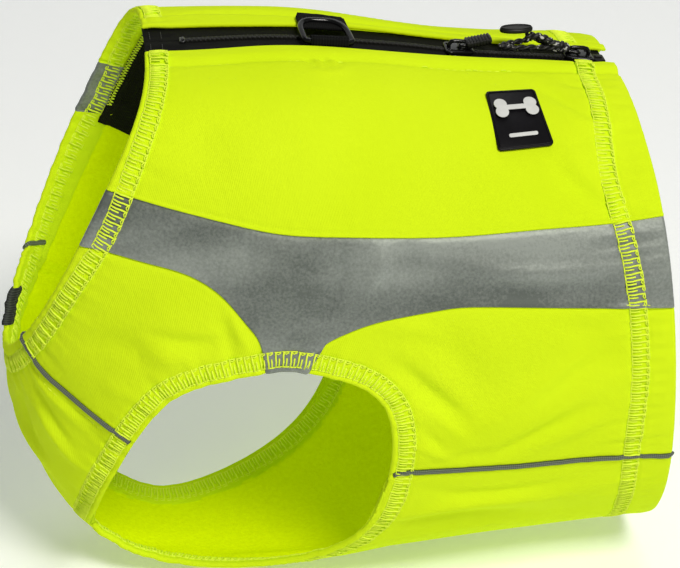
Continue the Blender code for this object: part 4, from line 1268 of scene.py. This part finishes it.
def setIn(points, seat, turn=1):             # turn -1 faces the other way along the back
    origin, along, across, up = seat
    points = np.asarray(points, float)
    return (origin + turn * points[..., :1] * along + turn * points[..., 1:2] * across
            + points[..., 2:] * up)


def roundedRect(length, width, corner, steps=4, narrow=1.0):
    # narrow is its width at the far end, as a share of the near end's
    points = []
    for sx, sy, start in ((1, 1, 0), (-1, 1, 90), (-1, -1, 180), (1, -1, 270)):
        for a in np.radians(np.linspace(start, start + 90, steps + 1)):
            points.append((sx * (length / 2 - corner) + corner * cos(a),
                           sy * (width / 2 - corner) + corner * sin(a)))
    points = np.array(points)
    points[:, 1] *= 1 + (narrow - 1) * (points[:, 0] / length + 0.5)
    return points


def ellipse(length, width, steps=28):
    a = np.linspace(0, 2 * pi, steps, endpoint=False)
    return np.stack([length / 2 * np.cos(a), width / 2 * np.sin(a)], axis=1)


def slab(outline, low, high, edge=0.3, steps=3):
    # a plate of this outline with rounded edges
    outline = np.asarray(outline, float)
    ahead = np.roll(outline, -1, 0) - np.roll(outline, 1, 0)
    inward = np.stack([-ahead[:, 1], ahead[:, 0]], axis=1)
    inward /= np.linalg.norm(ahead, axis=1, keepdims=True)
    levels = [(edge * (1 - sin(a)), low + edge * (1 - cos(a)))
              for a in np.linspace(0, pi / 2, steps + 1)]
    levels += [(inset, low + high - z) for inset, z in reversed(levels)]
    count = len(outline)
    points = [np.column_stack([outline + inward * inset, np.full(count, z)])
              for inset, z in levels]
    faces = [tuple(reversed(range(count)))]
    for j in range(len(levels) - 1):
        for k in range(count):
            a, b = j * count + k, j * count + (k + 1) % count
            faces.append((a, b, b + count, a + count))
    faces.append(tuple(range((len(levels) - 1) * count, len(levels) * count)))
    return np.concatenate(points), faces


def moved(part, shift=(0, 0, 0), scale=(1, 1, 1)):
    points, faces = part
    return np.asarray(points) * scale + np.asarray(shift, float), faces


def twisted(path, thick, turns, steps=70):
    # two strands laid round each other along a path
    knots = np.linspace(0, 1, len(path))
    t = np.linspace(0, 1, steps)
    line = smoothThrough(knots, np.array(path, float), t)
    along = np.gradient(line, axis=0)
    along /= np.linalg.norm(along, axis=1, keepdims=True)
    side = np.cross(along, (0.0, 1.0, 0.0))
    side /= np.linalg.norm(side, axis=1, keepdims=True)
    other = np.cross(side, along)
    parts = []
    for start in (0.0, 0.5):
        a = 2 * pi * (turns * t + start)[:, None]
        strand = line + thick * 0.85 * (np.cos(a) * side + np.sin(a) * other)
        parts.append(tube(strand, thick, 6))
    return parts


def strap(profile, width, thickness):
    # a band of webbing bent along a profile in the y-z plane, this wide along x
    columns = 8
    profile = np.asarray(profile, float)
    along = np.gradient(profile, axis=0)
    normal = np.stack([-along[:, 1], along[:, 0]], axis=1)
    normal /= np.linalg.norm(normal, axis=1, keepdims=True)
    x = np.linspace(-width / 2, width / 2, columns + 1)
    sheets = []
    for half in (thickness / 2, -thickness / 2):
        line = profile + normal * half
        sheets.append(np.stack(np.broadcast_arrays(x, line[:, :1], line[:, 1:]), axis=-1))
    faces = np.concatenate(wallFaces(len(profile), columns + 1)).tolist()
    return np.concatenate([s.reshape(-1, 3) for s in sheets]), faces


def solid(name, parts, material, body, slot, *nodes, seat=None, turn=1, mapping=None):
    points, faces = joined(parts)
    if seat is not None:
        points = setIn(points, seat, turn)
    if mapping == "flat":                    # the map is the piece's own plan, in metres
        mapping = np.concatenate([np.asarray(p)[:, :2] for p, _ in parts]) * mm
    piece = outward(newMesh(name, points, faces, [material], mapping=mapping))
    return finish(piece, body, slot, *nodes)


def layer(name, grid, above, thickness, material, slot, *nodes, inside=False):
    # a thin layer of cloth or webbing that follows the panel it lies on
    base, normal, lift, depth, _ = clothShape(grid)
    if inside:
        top = base + normal * (lift - depth - above)[..., None]
        under = top - normal * thickness
    else:
        under = base + normal * (lift + above)[..., None]
        top = under + normal * thickness
    piece = makeShell(name, top, under, clothMap(grid), [material])
    return finish(piece, "vest", slot, *nodes)


# Zip: tapes, teeth, stop and box
zipSizes = {
    "tape": (2.6, 15.8),      # girth from and to, on each side
    "tapeDepth": 1.25,
    "tapeThickness": 0.55,
    "tapeGrid": (120, 9),
    "behindCloth": (7.5, 0.25),              # from this girth the tape lies behind the cloth
    "stations": (0.0, 0.984),
    "meet": (-0.006, 0.004, 0.03),           # ahead of the teeth the two tapes meet
    "chain": (0.068, 0.960),  # stations where the teeth start and end
    "pitch": 1.75,
    "tooth": (1.05, 2.7, 1.5),
    "toothOff": 0.65,         # the middle of the chain
    "toothDepth": 0.6,
    "core": (2.9, 1.4, 2.6),  # the tape under the teeth: girth, upper and lower face
    "stopAt": 0.060,
    "boxAt": 0.974,
    "endStitches": {"stations": (0.010, 0.028), "girth": (3.6, 9.5), "pitch": 1.9,
                    "needleLength": 1.5, "needleThread": 0.16, "above": 0.12},
    "wander": ((0.0, 0.0), (0.07, -0.2), (0.16, -1.8), (0.28, -2.6), (0.42, -2.6), (0.54, -2.3),
               (0.62, -0.6), (0.68, 0.0), (1.0, 0.0)),
}


def chainGirth(station, size):
    # the closed chain doesn't run quite straight
    table = np.array(size["wander"])
    return smoothThrough(table[:, 0], table[:, 1], station)


def makeTapes(size):
    rows, columns = size["tapeGrid"]
    u, g = np.linspace(*size["stations"], rows), np.linspace(*size["tape"], columns)
    shareOut = np.linspace(1, 0, columns)    # the outer edge stays where it is sewn
    before, after, clear = size["meet"]
    meet = np.interp(u - size["chain"][0], (before, after), (size["tape"][0] - clear, 0))
    for side, turn in (("left", 1), ("right", -1)):
        grid = np.stack(np.broadcast_arrays(u[:, None], g[None] * turn), axis=-1)
        grid[..., 1] -= turn * meet[:, None] * shareOut
        grid[..., 1] += chainGirth(u, size)[:, None] * shareOut
        base, normal, lift, depth, _ = clothShape(grid, "back", (turn,))
        girth, gap = size["behindCloth"]
        under = np.where(g > girth, lift - depth - gap, -size["tapeDepth"])
        top = base + normal * np.minimum(under, -size["tapeDepth"])[..., None]
        piece = makeShell(f"zip_tape_{side}_cloth", top, top - normal * size["tapeThickness"],
                          clothMap(grid), [zipTapeCloth])
        finish(piece, "vest", "zip_tape", f"zip_tape_{side}")


def makeTeeth(size):
    length, width, height = size["tooth"]
    head = slab(roundedRect(length, width, 0.3, 2), -height / 2, height / 2, 0.28, 2)
    foot = slab(roundedRect(length * 1.25, width * 0.45, 0.3, 2), -height / 2,
                height / 2 + 0.12, 0.25, 2)
    tooth = template("tooth", [moved(head, (0, 0.35, 0)), moved(foot, (0, 1.35, 0))])
    stations = np.linspace(*size["chain"], lineSteps["seam"])
    lines = []
    for turn in (1, -1):                     # the right row points back, half a tooth on
        line = np.stack([stations, chainGirth(stations, size) + size["toothOff"] * turn], axis=1)
        line = densely(line[::turn])
        normal = readForm(formNormal, line[:, 0], line[:, 1])
        path = place(line) - normal * (size["toothDepth"] + height / 2)
        ahead = (path[1] - path[0]) / np.linalg.norm(path[1] - path[0])
        start = size["pitch"] / 2 if turn < 0 else 0
        lines.append((path + ahead * start, normal, False))
    row = rowAlong("zip_teeth", lines, tooth, size["pitch"], toothPlastic, 0.0, 0.0)
    finish(row, "vest", "zip_chain", "zip_chain_front", "zip_chain_middle", "zip_chain_rear")
    bpy.data.objects.remove(tooth, do_unlink=True)


def makeZipEnds(size):
    stopSeat = backFrame(place(np.array((size["stopAt"], 0.0)))[0])
    stop = [slab(roundedRect(2.4, 5.0, 0.7), -2.6, -0.4, 0.4),
            moved(slab(roundedRect(1.1, 3.0, 0.5), -0.5, 0.1, 0.25), (0.2, 0, 0))]
    solid("zip_top_stop", stop, blackMetal, "vest", "black_metal", seat=stopSeat)
    boxSeat = backFrame(place(np.array((size["boxAt"], 0.0)))[0])
    box = [slab(roundedRect(4.6, 6.8, 0.9), -3.2, -0.5, 0.5),
           moved(slab(roundedRect(3.0, 2.2, 0.6), -0.6, 0.1, 0.3), (-0.3, 0, 0))]
    solid("zip_box_moulding", box, toothPlastic, "vest", "zip_chain", "zip_box", seat=boxSeat)
    sewn = size["endStitches"]
    ends = []
    for station in sewn["stations"]:         # the tape's end is stitched across twice
        for turn in (1, -1):
            first, last = [(station, girth * turn) for girth in sewn["girth"]]
            line = densely(straight(first, last), 0.8)
            normal = readForm(formNormal, line[:, 0], line[:, 1])
            ends.append((place(line) - normal * (size["tapeDepth"] - sewn["above"]), normal,
                         False))
    short = needlePiece(sewn)
    row = rowAlong("zip_end_stitching", ends, short, sewn["pitch"], darkThread, 0.05, 0.05, 4)
    finish(row, "vest", "zip_tape")
    bpy.data.objects.remove(short, do_unlink=True)


def makeZip(size):
    makeTapes(size)
    makeTeeth(size)
    half, upper, lower = size["core"]
    grid = np.stack(np.broadcast_arrays(np.linspace(*size["chain"], 100)[:, None],
                                        np.linspace(-half, half, 5)[None]), axis=-1)
    grid[..., 1] += chainGirth(grid[:, 0, 0], size)[:, None]
    base, normal = place(grid), readForm(formNormal, grid[..., 0], grid[..., 1])
    core = makeShell("zip_core", base - normal * upper, base - normal * lower, clothMap(grid),
                     [zipTapeCloth])
    finish(core, "vest", "zip_chain")
    makeZipEnds(size)


# Sliders and their pulls
sliderSizes = {
    "places": (("front", 31.0, 1), ("rear", 79.0, -1)),
    "length": 11.5, "wide": 12.2, "narrow": 0.68, "plate": (-1.0, 0.6),
    "under": (-5.4, -3.95), "bridge": 8.4, "bridgeHeight": 3.3, "bar": 0.85,
}


def makeSlider(name, x, turn, size):
    plate = roundedRect(size["length"], size["wide"], 2.4, 6, size["narrow"])
    low, high = size["plate"]
    half, top = size["bridge"] / 2, size["bridgeHeight"] + high - size["bar"]
    arch = [(-half, 0, high - 0.4), (-half * 0.97, 0, top * 0.55), (-half * 0.8, 0, top * 0.9),
            (-half * 0.45, 0, top), (half * 0.45, 0, top), (half * 0.8, 0, top * 0.9),
            (half * 0.97, 0, top * 0.55), (half, 0, high - 0.4)]
    parts = [slab(plate, low, high, 0.6, 4),
             moved(slab(plate * 0.93, *size["under"], 0.5)),
             tube(arch, size["bar"], 10, reference=(0.0, 1.0, 0.0)),
             moved(slab(roundedRect(2.2, 3.4, 0.9), size["under"][0] + 0.5, high - 0.3, 0.3),
                   (-3.9, 0, 0))]
    for sy in (1, -1):                       # turned-down rims that hold the teeth
        rim = [(-4.6, sy * 4.8, low - 0.2), (-1.5, sy * 4.6, low - 0.35),
               (2.0, sy * 3.8, low - 0.35), (4.6, sy * 3.1, low - 0.2)]
        parts.append(tube(rim, 0.75, 8))
        parts.append(moved(slab(roundedRect(1.7, 1.4, 0.5), high - 0.2, high + 0.35, 0.25),
                           (-4.0, sy * 3.4, 0)))
    solid(f"slider_{name}_casting", parts, blackMetal, "vest", "black_metal", f"slider_{name}",
          seat=backFrame(x), turn=turn)


hinges = {
    "front": (np.array((31.169, 0.0, 1.35)), np.array((0.98769, 0.0, 0.15643)),
              np.array((0.0, 1.0, 0.0)), np.array((-0.15643, 0.0, 0.98769))),
    "rear": (np.array((79.157, 0.0, -3.633)), np.array((-0.98163, 0.0, 0.19081)),
             np.array((0.0, -1.0, 0.0)), np.array((0.19081, 0.0, 0.98163))),
}
frontPull = {"link": 2.8, "length": 12.9, "width": 6.8, "thickness": 2.3, "ribs": 8,
             "ribSpacing": 1.25, "rib": 0.5}
rearPull = {"link": 4.6, "tab": (20.2, 33.4), "tabWidth": 6.4, "tabRise": 4.5,
            "tabLean": -11.0, "tabThickness": 1.9, "strand": 0.95}


def pullLink(length):
    ring = [(0, -1.85, 0), (0, 1.85, 0), (length * 0.5, 1.95, 0.1), (length, 1.6, 0.1),
            (length + 0.7, 0, 0.1), (length, -1.6, 0.1), (length * 0.5, -1.95, 0.1)]
    knots = np.arange(len(ring) + 1)
    path = smoothThrough(knots, np.array(ring + ring[:1], float), np.linspace(0, len(ring), 43))
    path[:7, 0] = 0
    return tube(path[:-1], 0.58, 8, True)


def makeFrontPull(size):
    seat = hinges["front"]
    solid("pull_front_link", [pullLink(size["link"])], blackMetal, "front_pull", "black_metal",
          "pull_front", seat=seat)
    start = size["link"] - 0.6
    length = size["length"] - start
    middle = start + length / 2
    grip = slab(roundedRect(length, size["width"], 1.6, 5, 0.86), -size["thickness"] / 2 + 0.1,
                size["thickness"] / 2 + 0.1, 0.6)
    solid("pull_front_grip", [moved(grip, (middle, 0, 0))], pullRubber, "front_pull",
          "black_rubber", seat=seat, mapping="flat")
    section = roundedRect(size["width"] - 0.9, size["thickness"], 0.5, 2)
    ring = np.column_stack([np.zeros(len(section)), section])
    rib = template("gripRib", [tube(ring, size["rib"], 6, True, reference=(1.0, 0.0, 0.0))])
    first = middle - size["ribSpacing"] * (size["ribs"] - 1) / 2
    line = np.column_stack([np.linspace(first, first + size["ribSpacing"] * (size["ribs"] - 1),
                                        size["ribs"]), np.zeros(size["ribs"]),
                            np.full(size["ribs"], 0.1)])
    path = (setIn(line, seat), np.tile(seat[3], (size["ribs"], 1)), False)
    row = rowAlong("pull_front_ribs", [path], rib, size["ribSpacing"], pullRubber, 0.0, 0.0)
    finish(row, "front_pull", "black_rubber")
    bpy.data.objects.remove(rib, do_unlink=True)


def makeRearPull(size):
    seat = hinges["rear"]
    solid("pull_rear_link", [pullLink(size["link"])], blackMetal, "rear_pull", "black_metal",
          "pull_rear", seat=seat)
    first, last = size["tab"]
    rise = size["tabRise"]
    lead = [(4.2, -0.3, 0.1), (6.5, -0.9, 1.3), (9.5, 0.6, 1.6), (12.5, 1.1, 2.6),
            (16.0, 0.4, 3.6), (20.5, 0.0, rise - 0.9)]
    loop = [(4.6, 0.8, 0.3), (8.5, 1.7, 0.1), (13.0, 1.8, 0.2), (20.0, 1.8, -0.6),
            (28.0, 1.6, -2.0), (31.5, 0.2, -2.4), (28.0, -1.3, -1.2), (22.0, -0.8, 1.2),
            (20.0, 0.0, rise - 1.4)]
    other = [(5.2, -1.6, 0.2), (8.0, -2.2, 1.0), (12.0, -1.6, 0.6), (16.0, -1.6, 1.8),
             (19.0, -0.9, 3.0), (22.5, -0.2, rise - 1.0)]
    thick = size["strand"]
    strands = twisted(lead, thick, 4.0) + twisted(loop, thick * 0.72, 8.0, 130)
    strands += twisted(other, thick * 0.8, 4.0)
    solid("pull_rear_cord", strands, cordWithPaintedGlints, "rear_pull", "black_rubber", seat=seat)
    knot = slab(ellipse(3.4, 4.4, 14), -1.6, 1.6, 1.3)
    solid("pull_rear_knots", [moved(knot, (5.4, -0.1, 0.7)), moved(knot, (9.4, 0.4, 1.3)),
                              moved(knot, (13.2, -0.2, 1.9), (0.85, 0.85, 0.8))],
          cordWithPaintedGlints, "rear_pull", "black_rubber", seat=seat)
    middle, length = (first + last) / 2, last - first
    tab = slab(ellipse(length, size["tabWidth"]), 0.0, size["tabThickness"], 0.7)
    rim = tube(np.column_stack([ellipse(length - 1.4, size["tabWidth"] - 1.4, 28),
                                np.full(28, size["tabThickness"])]), 0.3, 6, True)
    t = radians(size["tabLean"])
    spread = (seat[1] * cos(t) + seat[3] * sin(t), seat[3] * cos(t) - seat[1] * sin(t))
    level = (seat[0] + seat[1] * middle + seat[3] * rise, spread[0], seat[2], spread[1])
    solid("pull_rear_tab", [tab, rim], pullRubber, "rear_pull", "black_rubber", seat=level,
          mapping="flat")


# Leash ring, the webbing loop that holds it, and the patch behind
ringSizes = {"rod": 2.5, "width": 21.0, "depth": 20.0, "squareness": 3.3, "lean": -2.2,
             "hinge": (-21.0, -7.4, 7.962), "along": (0.9954, 0.0, -0.09585), "tilt": 7.0,
             "loop": 14.6, "loopGap": 1.7, "loopThickness": 0.8}


def ringSeat(size):
    along = np.array(size["along"])
    up = np.cross(along, (0.0, 1.0, 0.0))
    t = radians(size["tilt"])
    bow = np.array((0.0, 1.0, 0.0)) * cos(t) + up * sin(t)
    return np.array(size["hinge"]), along, bow, np.cross(along, bow)


def makeRing(size):
    r = size["rod"] / 2
    half, reach = size["width"] / 2 - r, size["depth"] - size["rod"]
    bar = [(x, 0.0) for x in np.linspace(-half + 2.0, half - 2.0, 9)]
    a = np.linspace(0, pi, 33)
    power = 2 / size["squareness"]
    bow = np.stack([half * np.sign(np.cos(a)) * np.abs(np.cos(a)) ** power,
                    3.2 + (reach - 3.2) * np.sin(a).clip(0) ** power], axis=1)
    corner = [(half - 0.5, 0.35), (half, 1.2)]
    path = np.array(bar + corner + bow.tolist() + [(-x, y) for x, y in reversed(corner)])
    path = np.column_stack([path[:, 0] + size["lean"] * path[:, 1] / reach, path[:, 1],
                            np.zeros(len(path))])
    seat = ringSeat(size)
    solid("ring_rod", [tube(path, r, 14, True)], blackMetal, "leash_ring", "black_metal", "ring",
          seat=seat)
    radius = size["loopGap"] + size["loopThickness"] / 2
    turn = np.radians(np.linspace(-62, 242, 26))
    profile = [(4.2, -2.55), (2.6, -2.5), (1.9, -2.0)]
    profile += [(radius * cos(t), radius * sin(t)) for t in turn]
    profile += [(-1.9, -2.0), (-2.3, -2.5), (-2.6, -2.7)]
    flatSeat = (seat[0], seat[1], np.array((0.0, 1.0, 0.0)),
                np.cross(seat[1], (0.0, 1.0, 0.0)))
    solid("ring_loop_webbing", [strap(profile, size["loop"], size["loopThickness"])],
          webbingCloth, "vest", "black_webbing", "ring_loop", seat=flatSeat, mapping="flat")


patchSizes = {"ends": (-31.2, -12.2), "girth": (-3.4, -19.6), "corner": 6.0,
              "thickness": 0.9}


def makePatch(size):
    # rounded at its far corners, as wide as the ring, on the far side of the zip
    firstU, lastU = stationAt(size["ends"])
    near, far = size["girth"]
    s = np.linspace(0, 1, 15)
    t = np.linspace(-1, 1, 19)
    drop = 1 - (1 - np.abs(t[None]) ** 3.2) ** (1 / 3.2)
    girth = near + (far + drop * size["corner"] - near) * s[:, None]
    middle, half = (firstU + lastU) / 2, (lastU - firstU) / 2
    station = np.broadcast_to(middle + half * t[None] - 0.006 * s[:, None], girth.shape)
    layer("ring_patch_webbing", np.stack([station, girth], axis=-1), 0.25, size["thickness"],
          webbingCloth, "black_webbing", "ring_patch")


# Label: a moulded plate with a rim; its face holds a plain bone and a bar
labelSizes = {"centre": (0.730, 47.5), "size": (20.6, 27.4), "tilt": 9.0, "corner": 1.5,
              "thickness": 1.15, "rim": 0.5, "bone": (12.0, 2.6, 2.3), "bar": (11.0, 1.6)}


def onLabel(points, size):
    # plan points (x along the body, y down the side) and heights, laid on the cloth
    points = np.asarray(points, float)
    t = radians(size["tilt"])
    flat = np.stack([points[:, 0] * cos(t) + points[:, 1] * sin(t),
                     -points[:, 0] * sin(t) + points[:, 1] * cos(t)], axis=1)
    centre = np.tile(np.array(size["centre"]), (len(flat), 1))
    station = (place(centre + (0.01, 0)) - place(centre - (0.01, 0))) / 0.02
    girth = (place(centre + (0, 2.0)) - place(centre - (0, 2.0))) / 4
    move = flat[:, :1] * station / np.linalg.norm(station, axis=1, keepdims=True)
    move = move + flat[:, 1:] * girth
    spot = centre + stationGirthStep(centre, move)
    base, normal = place(spot), readForm(formNormal, spot[:, 0], spot[:, 1])
    lift = foldLift(base) + creaseLift(base, normal)
    return base + normal * (lift + points[:, 2] + 0.3)[:, None]


def labelPart(name, parts, material, size, *nodes):
    points, faces = joined(parts)
    piece = outward(newMesh(name, onLabel(points, size), faces, [material],
                            mapping=points[:, :2] * mm))
    return finish(piece, "vest", "black_rubber", *nodes)


def makeLabel(size):
    length, width = size["size"]
    top = size["thickness"]
    outline = roundedRect(length, width, size["corner"], 5)
    labelPart("label_plate", [slab(outline, 0, top, 0.35)], labelRubber, size, "label")
    rim = roundedRect(length - 1.7, width - 1.7, max(size["corner"] - 0.7, 0.4), 5)
    path = np.column_stack([rim, np.full(len(rim), top)])
    labelPart("label_rim", [tube(path, size["rim"] / 2, 8, True)], labelRubber, size)
    long, knob, shaft = size["bone"]
    knobs = [moved(slab(ellipse(2 * knob, 2 * knob, 18), top - 0.1, top + 0.22, 0.12),
                   (sx * long / 2, sy * knob * 0.72 - 4.6, 0)) for sx in (1, -1)
             for sy in (1, -1)]
    rod = moved(slab(roundedRect(long, shaft, 0.2, 2), top - 0.1, top + 0.24, 0.12),
                (0, -4.6, 0))
    strip = moved(slab(roundedRect(*size["bar"], 0.7), top - 0.1, top + 0.2, 0.12), (0, 8.0, 0))
    labelPart("label_motif", knobs + [rod, strip], labelPale, size)


# Neck facings, tab and piping
facingSizes = {
    "front": ((17.3, 0.052), (74.0, 0.050), (118.6, 0.055)),      # girth, station
    "lower": ((0.055, 118.6), (0.10, 125.0), (0.15, 132.0), (0.22, 139.0)),
    "rear": 0.22, "thickness": 0.6, "grid": (74, 28), "above": 0.15,
    "overlock": {"girth": (19.0, 109.0), "steps": 120, "inset": 0.004, "pitch": 1.3,
                 "thread": 0.2, "above": 0.75},
}


def makeFacings(size):
    front = np.array(size["front"])
    first, last = front[0, 0], front[-1, 0]
    s, t = [np.linspace(0, 1, count) for count in size["grid"]]
    ahead = np.interp(first + (last - first) * s, *front.T)[:, None]
    station = ahead + (size["rear"] - ahead) * t
    end = np.interp(station, *np.array(size["lower"]).T)
    girth = first + (end - first) * s[:, None]
    for side, turn in (("left", 1), ("right", -1)):
        grid = np.stack([station, girth * turn], axis=-1)
        piece = layer(f"neck_facing_{side}_cloth", grid, size["above"], size["thickness"],
                      facingCloth, "black_webbing", f"neck_facing_{side}", inside=True)
    sewn = size["overlock"]
    there = [(-0.5, -1.15, 0.1), (-0.15, 0.0, 0.26), (0.2, 1.15, 0.1)]
    back = [(0.2, 1.15, 0.1), (0.4, 0.0, 0.22), (0.6, -1.15, 0.1)]
    zigzag = template("zigzag", [tube(way, sewn["thread"], 5) for way in (there, back)])
    girth = np.linspace(*sewn["girth"], sewn["steps"])
    station = np.interp(girth, *front.T) + sewn["inset"]
    lines = [stitchPath(densely(np.stack([station, girth * turn], axis=1)), False, True,
                        sewn["above"]) for turn in (1, -1)]
    row = rowAlong("facing_overlock", lines, zigzag, sewn["pitch"], thread, seed=9)
    finish(row, "vest", "black_webbing")
    bpy.data.objects.remove(zigzag, do_unlink=True)


tabSizes = {"girth": (-193.0, -213.0), "outer": 2.0, "inner": 3.2, "above": 0.12,
            "thickness": 0.6, "lumps": 3, "columns": 61, "mapWidth": 0.012}


def acrossHem(curve, inward=1):
    # the direction along the cloth from a hem's edge towards the body's middle
    ahead = place(curve + (inward * 0.01, 0)) - place(curve)
    return ahead / np.linalg.norm(ahead, axis=1, keepdims=True)


def hemWrap(girths, outerReach, innerReach, above):
    # points round the neck's edge at these girths, from outside to inside
    steps = 8
    depths = np.concatenate([np.linspace(outerReach, 0.6, steps), [0.0],
                             np.linspace(0.6, innerReach, steps)])
    rows = []
    for j, off in enumerate(depths):
        station = off / bodyForm["length"]
        curve = np.stack([np.full(len(girths), station), girths], axis=1)
        base, normal, lift, depth, _ = clothShape(curve)
        if j < steps:
            rows.append(base + normal * (lift + above)[:, None])
        elif j == steps:
            rows.append(base + normal * (lift - depth / 2)[:, None] - acrossHem(curve) * above)
        else:
            rows.append(base + normal * (lift - depth - above)[:, None])
    return np.array(rows)


def makeTab(size):
    # folded webbing, uneven along the edge and thin at its two ends
    girths = np.linspace(*size["girth"], size["columns"])
    t = np.linspace(0, 1, size["columns"])
    lumps = 0.55 * np.abs(np.sin(pi * size["lumps"] * t)) + 0.08 * np.sin(37 * t)
    lumps *= np.sin(pi * t.clip(0.02, 0.98)) ** 0.35
    inner, outer = [hemWrap(girths, size["outer"], size["inner"], above)
                    for above in (size["above"], size["above"] + size["thickness"])]
    outer = outer + (outer - inner) / size["thickness"] * lumps[None, :, None]
    across = np.linspace(0, size["mapWidth"], len(outer))[:, None]
    mapping = np.stack(np.broadcast_arrays(across, girths[None] * mm), axis=-1).reshape(-1, 2)
    piece = makeShell("neck_tab_webbing", outer, inner, mapping, [tabCloth])
    finish(piece, "vest", "grey_tab", "neck_tab")


pipingSizes = {
    "radius": 1.12, "flat": 0.75, "above": 0.15, "step": 0.9, "sides": 10,
    "sink": (0.12, 4.5),      # where a coverstitch crosses it, and how wide
    # at a hem it is turned in with the cloth, this far from the edge, and inside the hem
    # its girth is shifted, the more so the further in
    "turnedIn": (11.0, 8.0, 5.0, 2.0, 0.9), "roundEdge": 0.35,
    "inside": {"front": (-1.2, 85.0), "rear": (0.0, 0.0)},
}


def makePiping(size):
    # a folded strip with a cord in it
    for turn, side in ((1, "left"), (-1, "right")):
        for seam, hem, edge, inward in (("front", "neck", 0.0, 1), ("rear", "rear", 1.0, -1)):
            curve = densely(seamCurves[(f"piping {seam}", turn)], 1.5)[::inward]
            base, normal, lift = clothShape(curve[1:-1])[:3]
            sewn = np.minimum(lineDistance(base, armCovers[side], True)[0],
                              lineDistance(base, wholeCover(hem))[0])
            sink, breadth = size["sink"]
            above = size["above"] - sink * np.exp(-(sewn / breadth) ** 4)
            path = base + normal * (lift + above)[:, None]
            shift, slope = size["inside"][seam]
            girth = curve[0, 1]
            station = edge + inward * np.array(size["turnedIn"]) / bodyForm["length"]
            spots = np.stack([station, girth + turn * (shift + slope * station)], axis=1)
            b, n, up, depth, _ = clothShape(spots)
            tail = b + n * (up - depth - size["above"])[:, None]
            spot = np.array(((edge, girth),))
            b, n, up, depth, _ = clothShape(spot)
            bend = b + n * (up - depth / 2)[:, None] - acrossHem(spot, inward) * size["roundEdge"]
            whole = np.concatenate([tail, bend, path])
            knots = runOf(whole)
            at = np.arange(0, knots[-1], size["step"])
            whole = np.stack([np.interp(at, knots, whole[:, k]) for k in range(3)], axis=1)
            middle = curve[len(curve) // 2]
            points, faces = tube(whole, size["radius"], size["sides"], flat=size["flat"],
                                 reference=readForm(formNormal, middle[0], middle[1]))
            around = np.linspace(0, 0.006, size["sides"], endpoint=False)
            mapping = np.stack(np.broadcast_arrays(np.arange(len(whole))[:, None] * 0.0009,
                                                   around), axis=-1).reshape(-1, 2)
            piece = newMesh(f"piping_{seam}_{side}_cord", points, faces, [pipingCloth],
                            mapping=mapping)
            finish(outward(piece), "vest", "reflective_piping", f"piping_{seam}_{side}")


print("making the zip")
makeZip(zipSizes)
for name, x, turn in sliderSizes["places"]:
    makeSlider(name, x, turn, sliderSizes)
makeFrontPull(frontPull)
makeRearPull(rearPull)
print("making the ring, label and trim")
makeRing(ringSizes)
makePatch(patchSizes)
makeLabel(labelSizes)
makeFacings(facingSizes)
makeTab(tabSizes)
makePiping(pipingSizes)

# Floor and light
studio = {"floor": (0.90, 0.915, 0.93), "glow": 0.20, "world": 0.11, "drop": 0.001,
          "sky": (0.88, 1.0, 0.86)}


def makeStudio(size):
    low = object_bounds()[0].z - size["drop"]
    mesh = bpy.data.meshes.new("floor")
    points, faces = [], []
    profile = [(-3.0, 0.0), (1.2, 0.0), (1.7, 0.05), (2.1, 0.3), (2.3, 0.8), (2.35, 3.0)]
    for y, z in profile:
        points += [(-4.0, y, low + z), (4.0, y, low + z)]
    for k in range(len(profile) - 1):
        faces.append((2 * k, 2 * k + 1, 2 * k + 3, 2 * k + 2))
    mesh.from_pydata(points, [], faces)
    mesh.shade_smooth()
    floor = bpy.data.objects.new("studioFloor", mesh)
    bpy.context.scene.collection.objects.link(floor)
    pale = makePlain("pale floor", size["floor"], 0.95, 900.0, 0.00005, 0.01)
    glow(pale, (1.0, 1.0, 1.0), size["glow"])
    mesh.materials.append(pale)
    floor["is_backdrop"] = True
    world = bpy.data.worlds.new("studio")
    world.use_nodes = True
    world.node_tree.nodes["Background"].inputs[0].default_value = (*size["sky"], 1)
    world.node_tree.nodes["Background"].inputs[1].default_value = size["world"]
    bpy.context.scene.world = world


lights = (
    # name, place, size, power, colour
    ("keyLight", (0.38, -1.25, 1.42), 0.50, 31.0, (1.0, 0.955, 0.90)),
    ("fillLight", (1.4, -0.4, 0.6), 1.0, 0.8, (0.97, 0.98, 1.0)),
    ("topLight", (0.2, 0.9, 1.6), 0.9, 6.0, (1.0, 1.0, 1.0)),
)


def makeLights():
    for name, where, width, power, colour in lights:
        data = bpy.data.lights.new(name, "AREA")
        data.size, data.energy, data.color = width, power, colour
        lamp = bpy.data.objects.new(name, data)
        lamp.location = where
        aim = Vector(cameraPlace["target"]) - Vector(where)
        lamp.rotation_euler = aim.to_track_quat("-Z", "Y").to_euler()
        bpy.context.scene.collection.objects.link(lamp)


print("making the studio")
makeStudio(studio)
makeLights()
bpy.context.scene.view_settings.view_transform = "Standard"
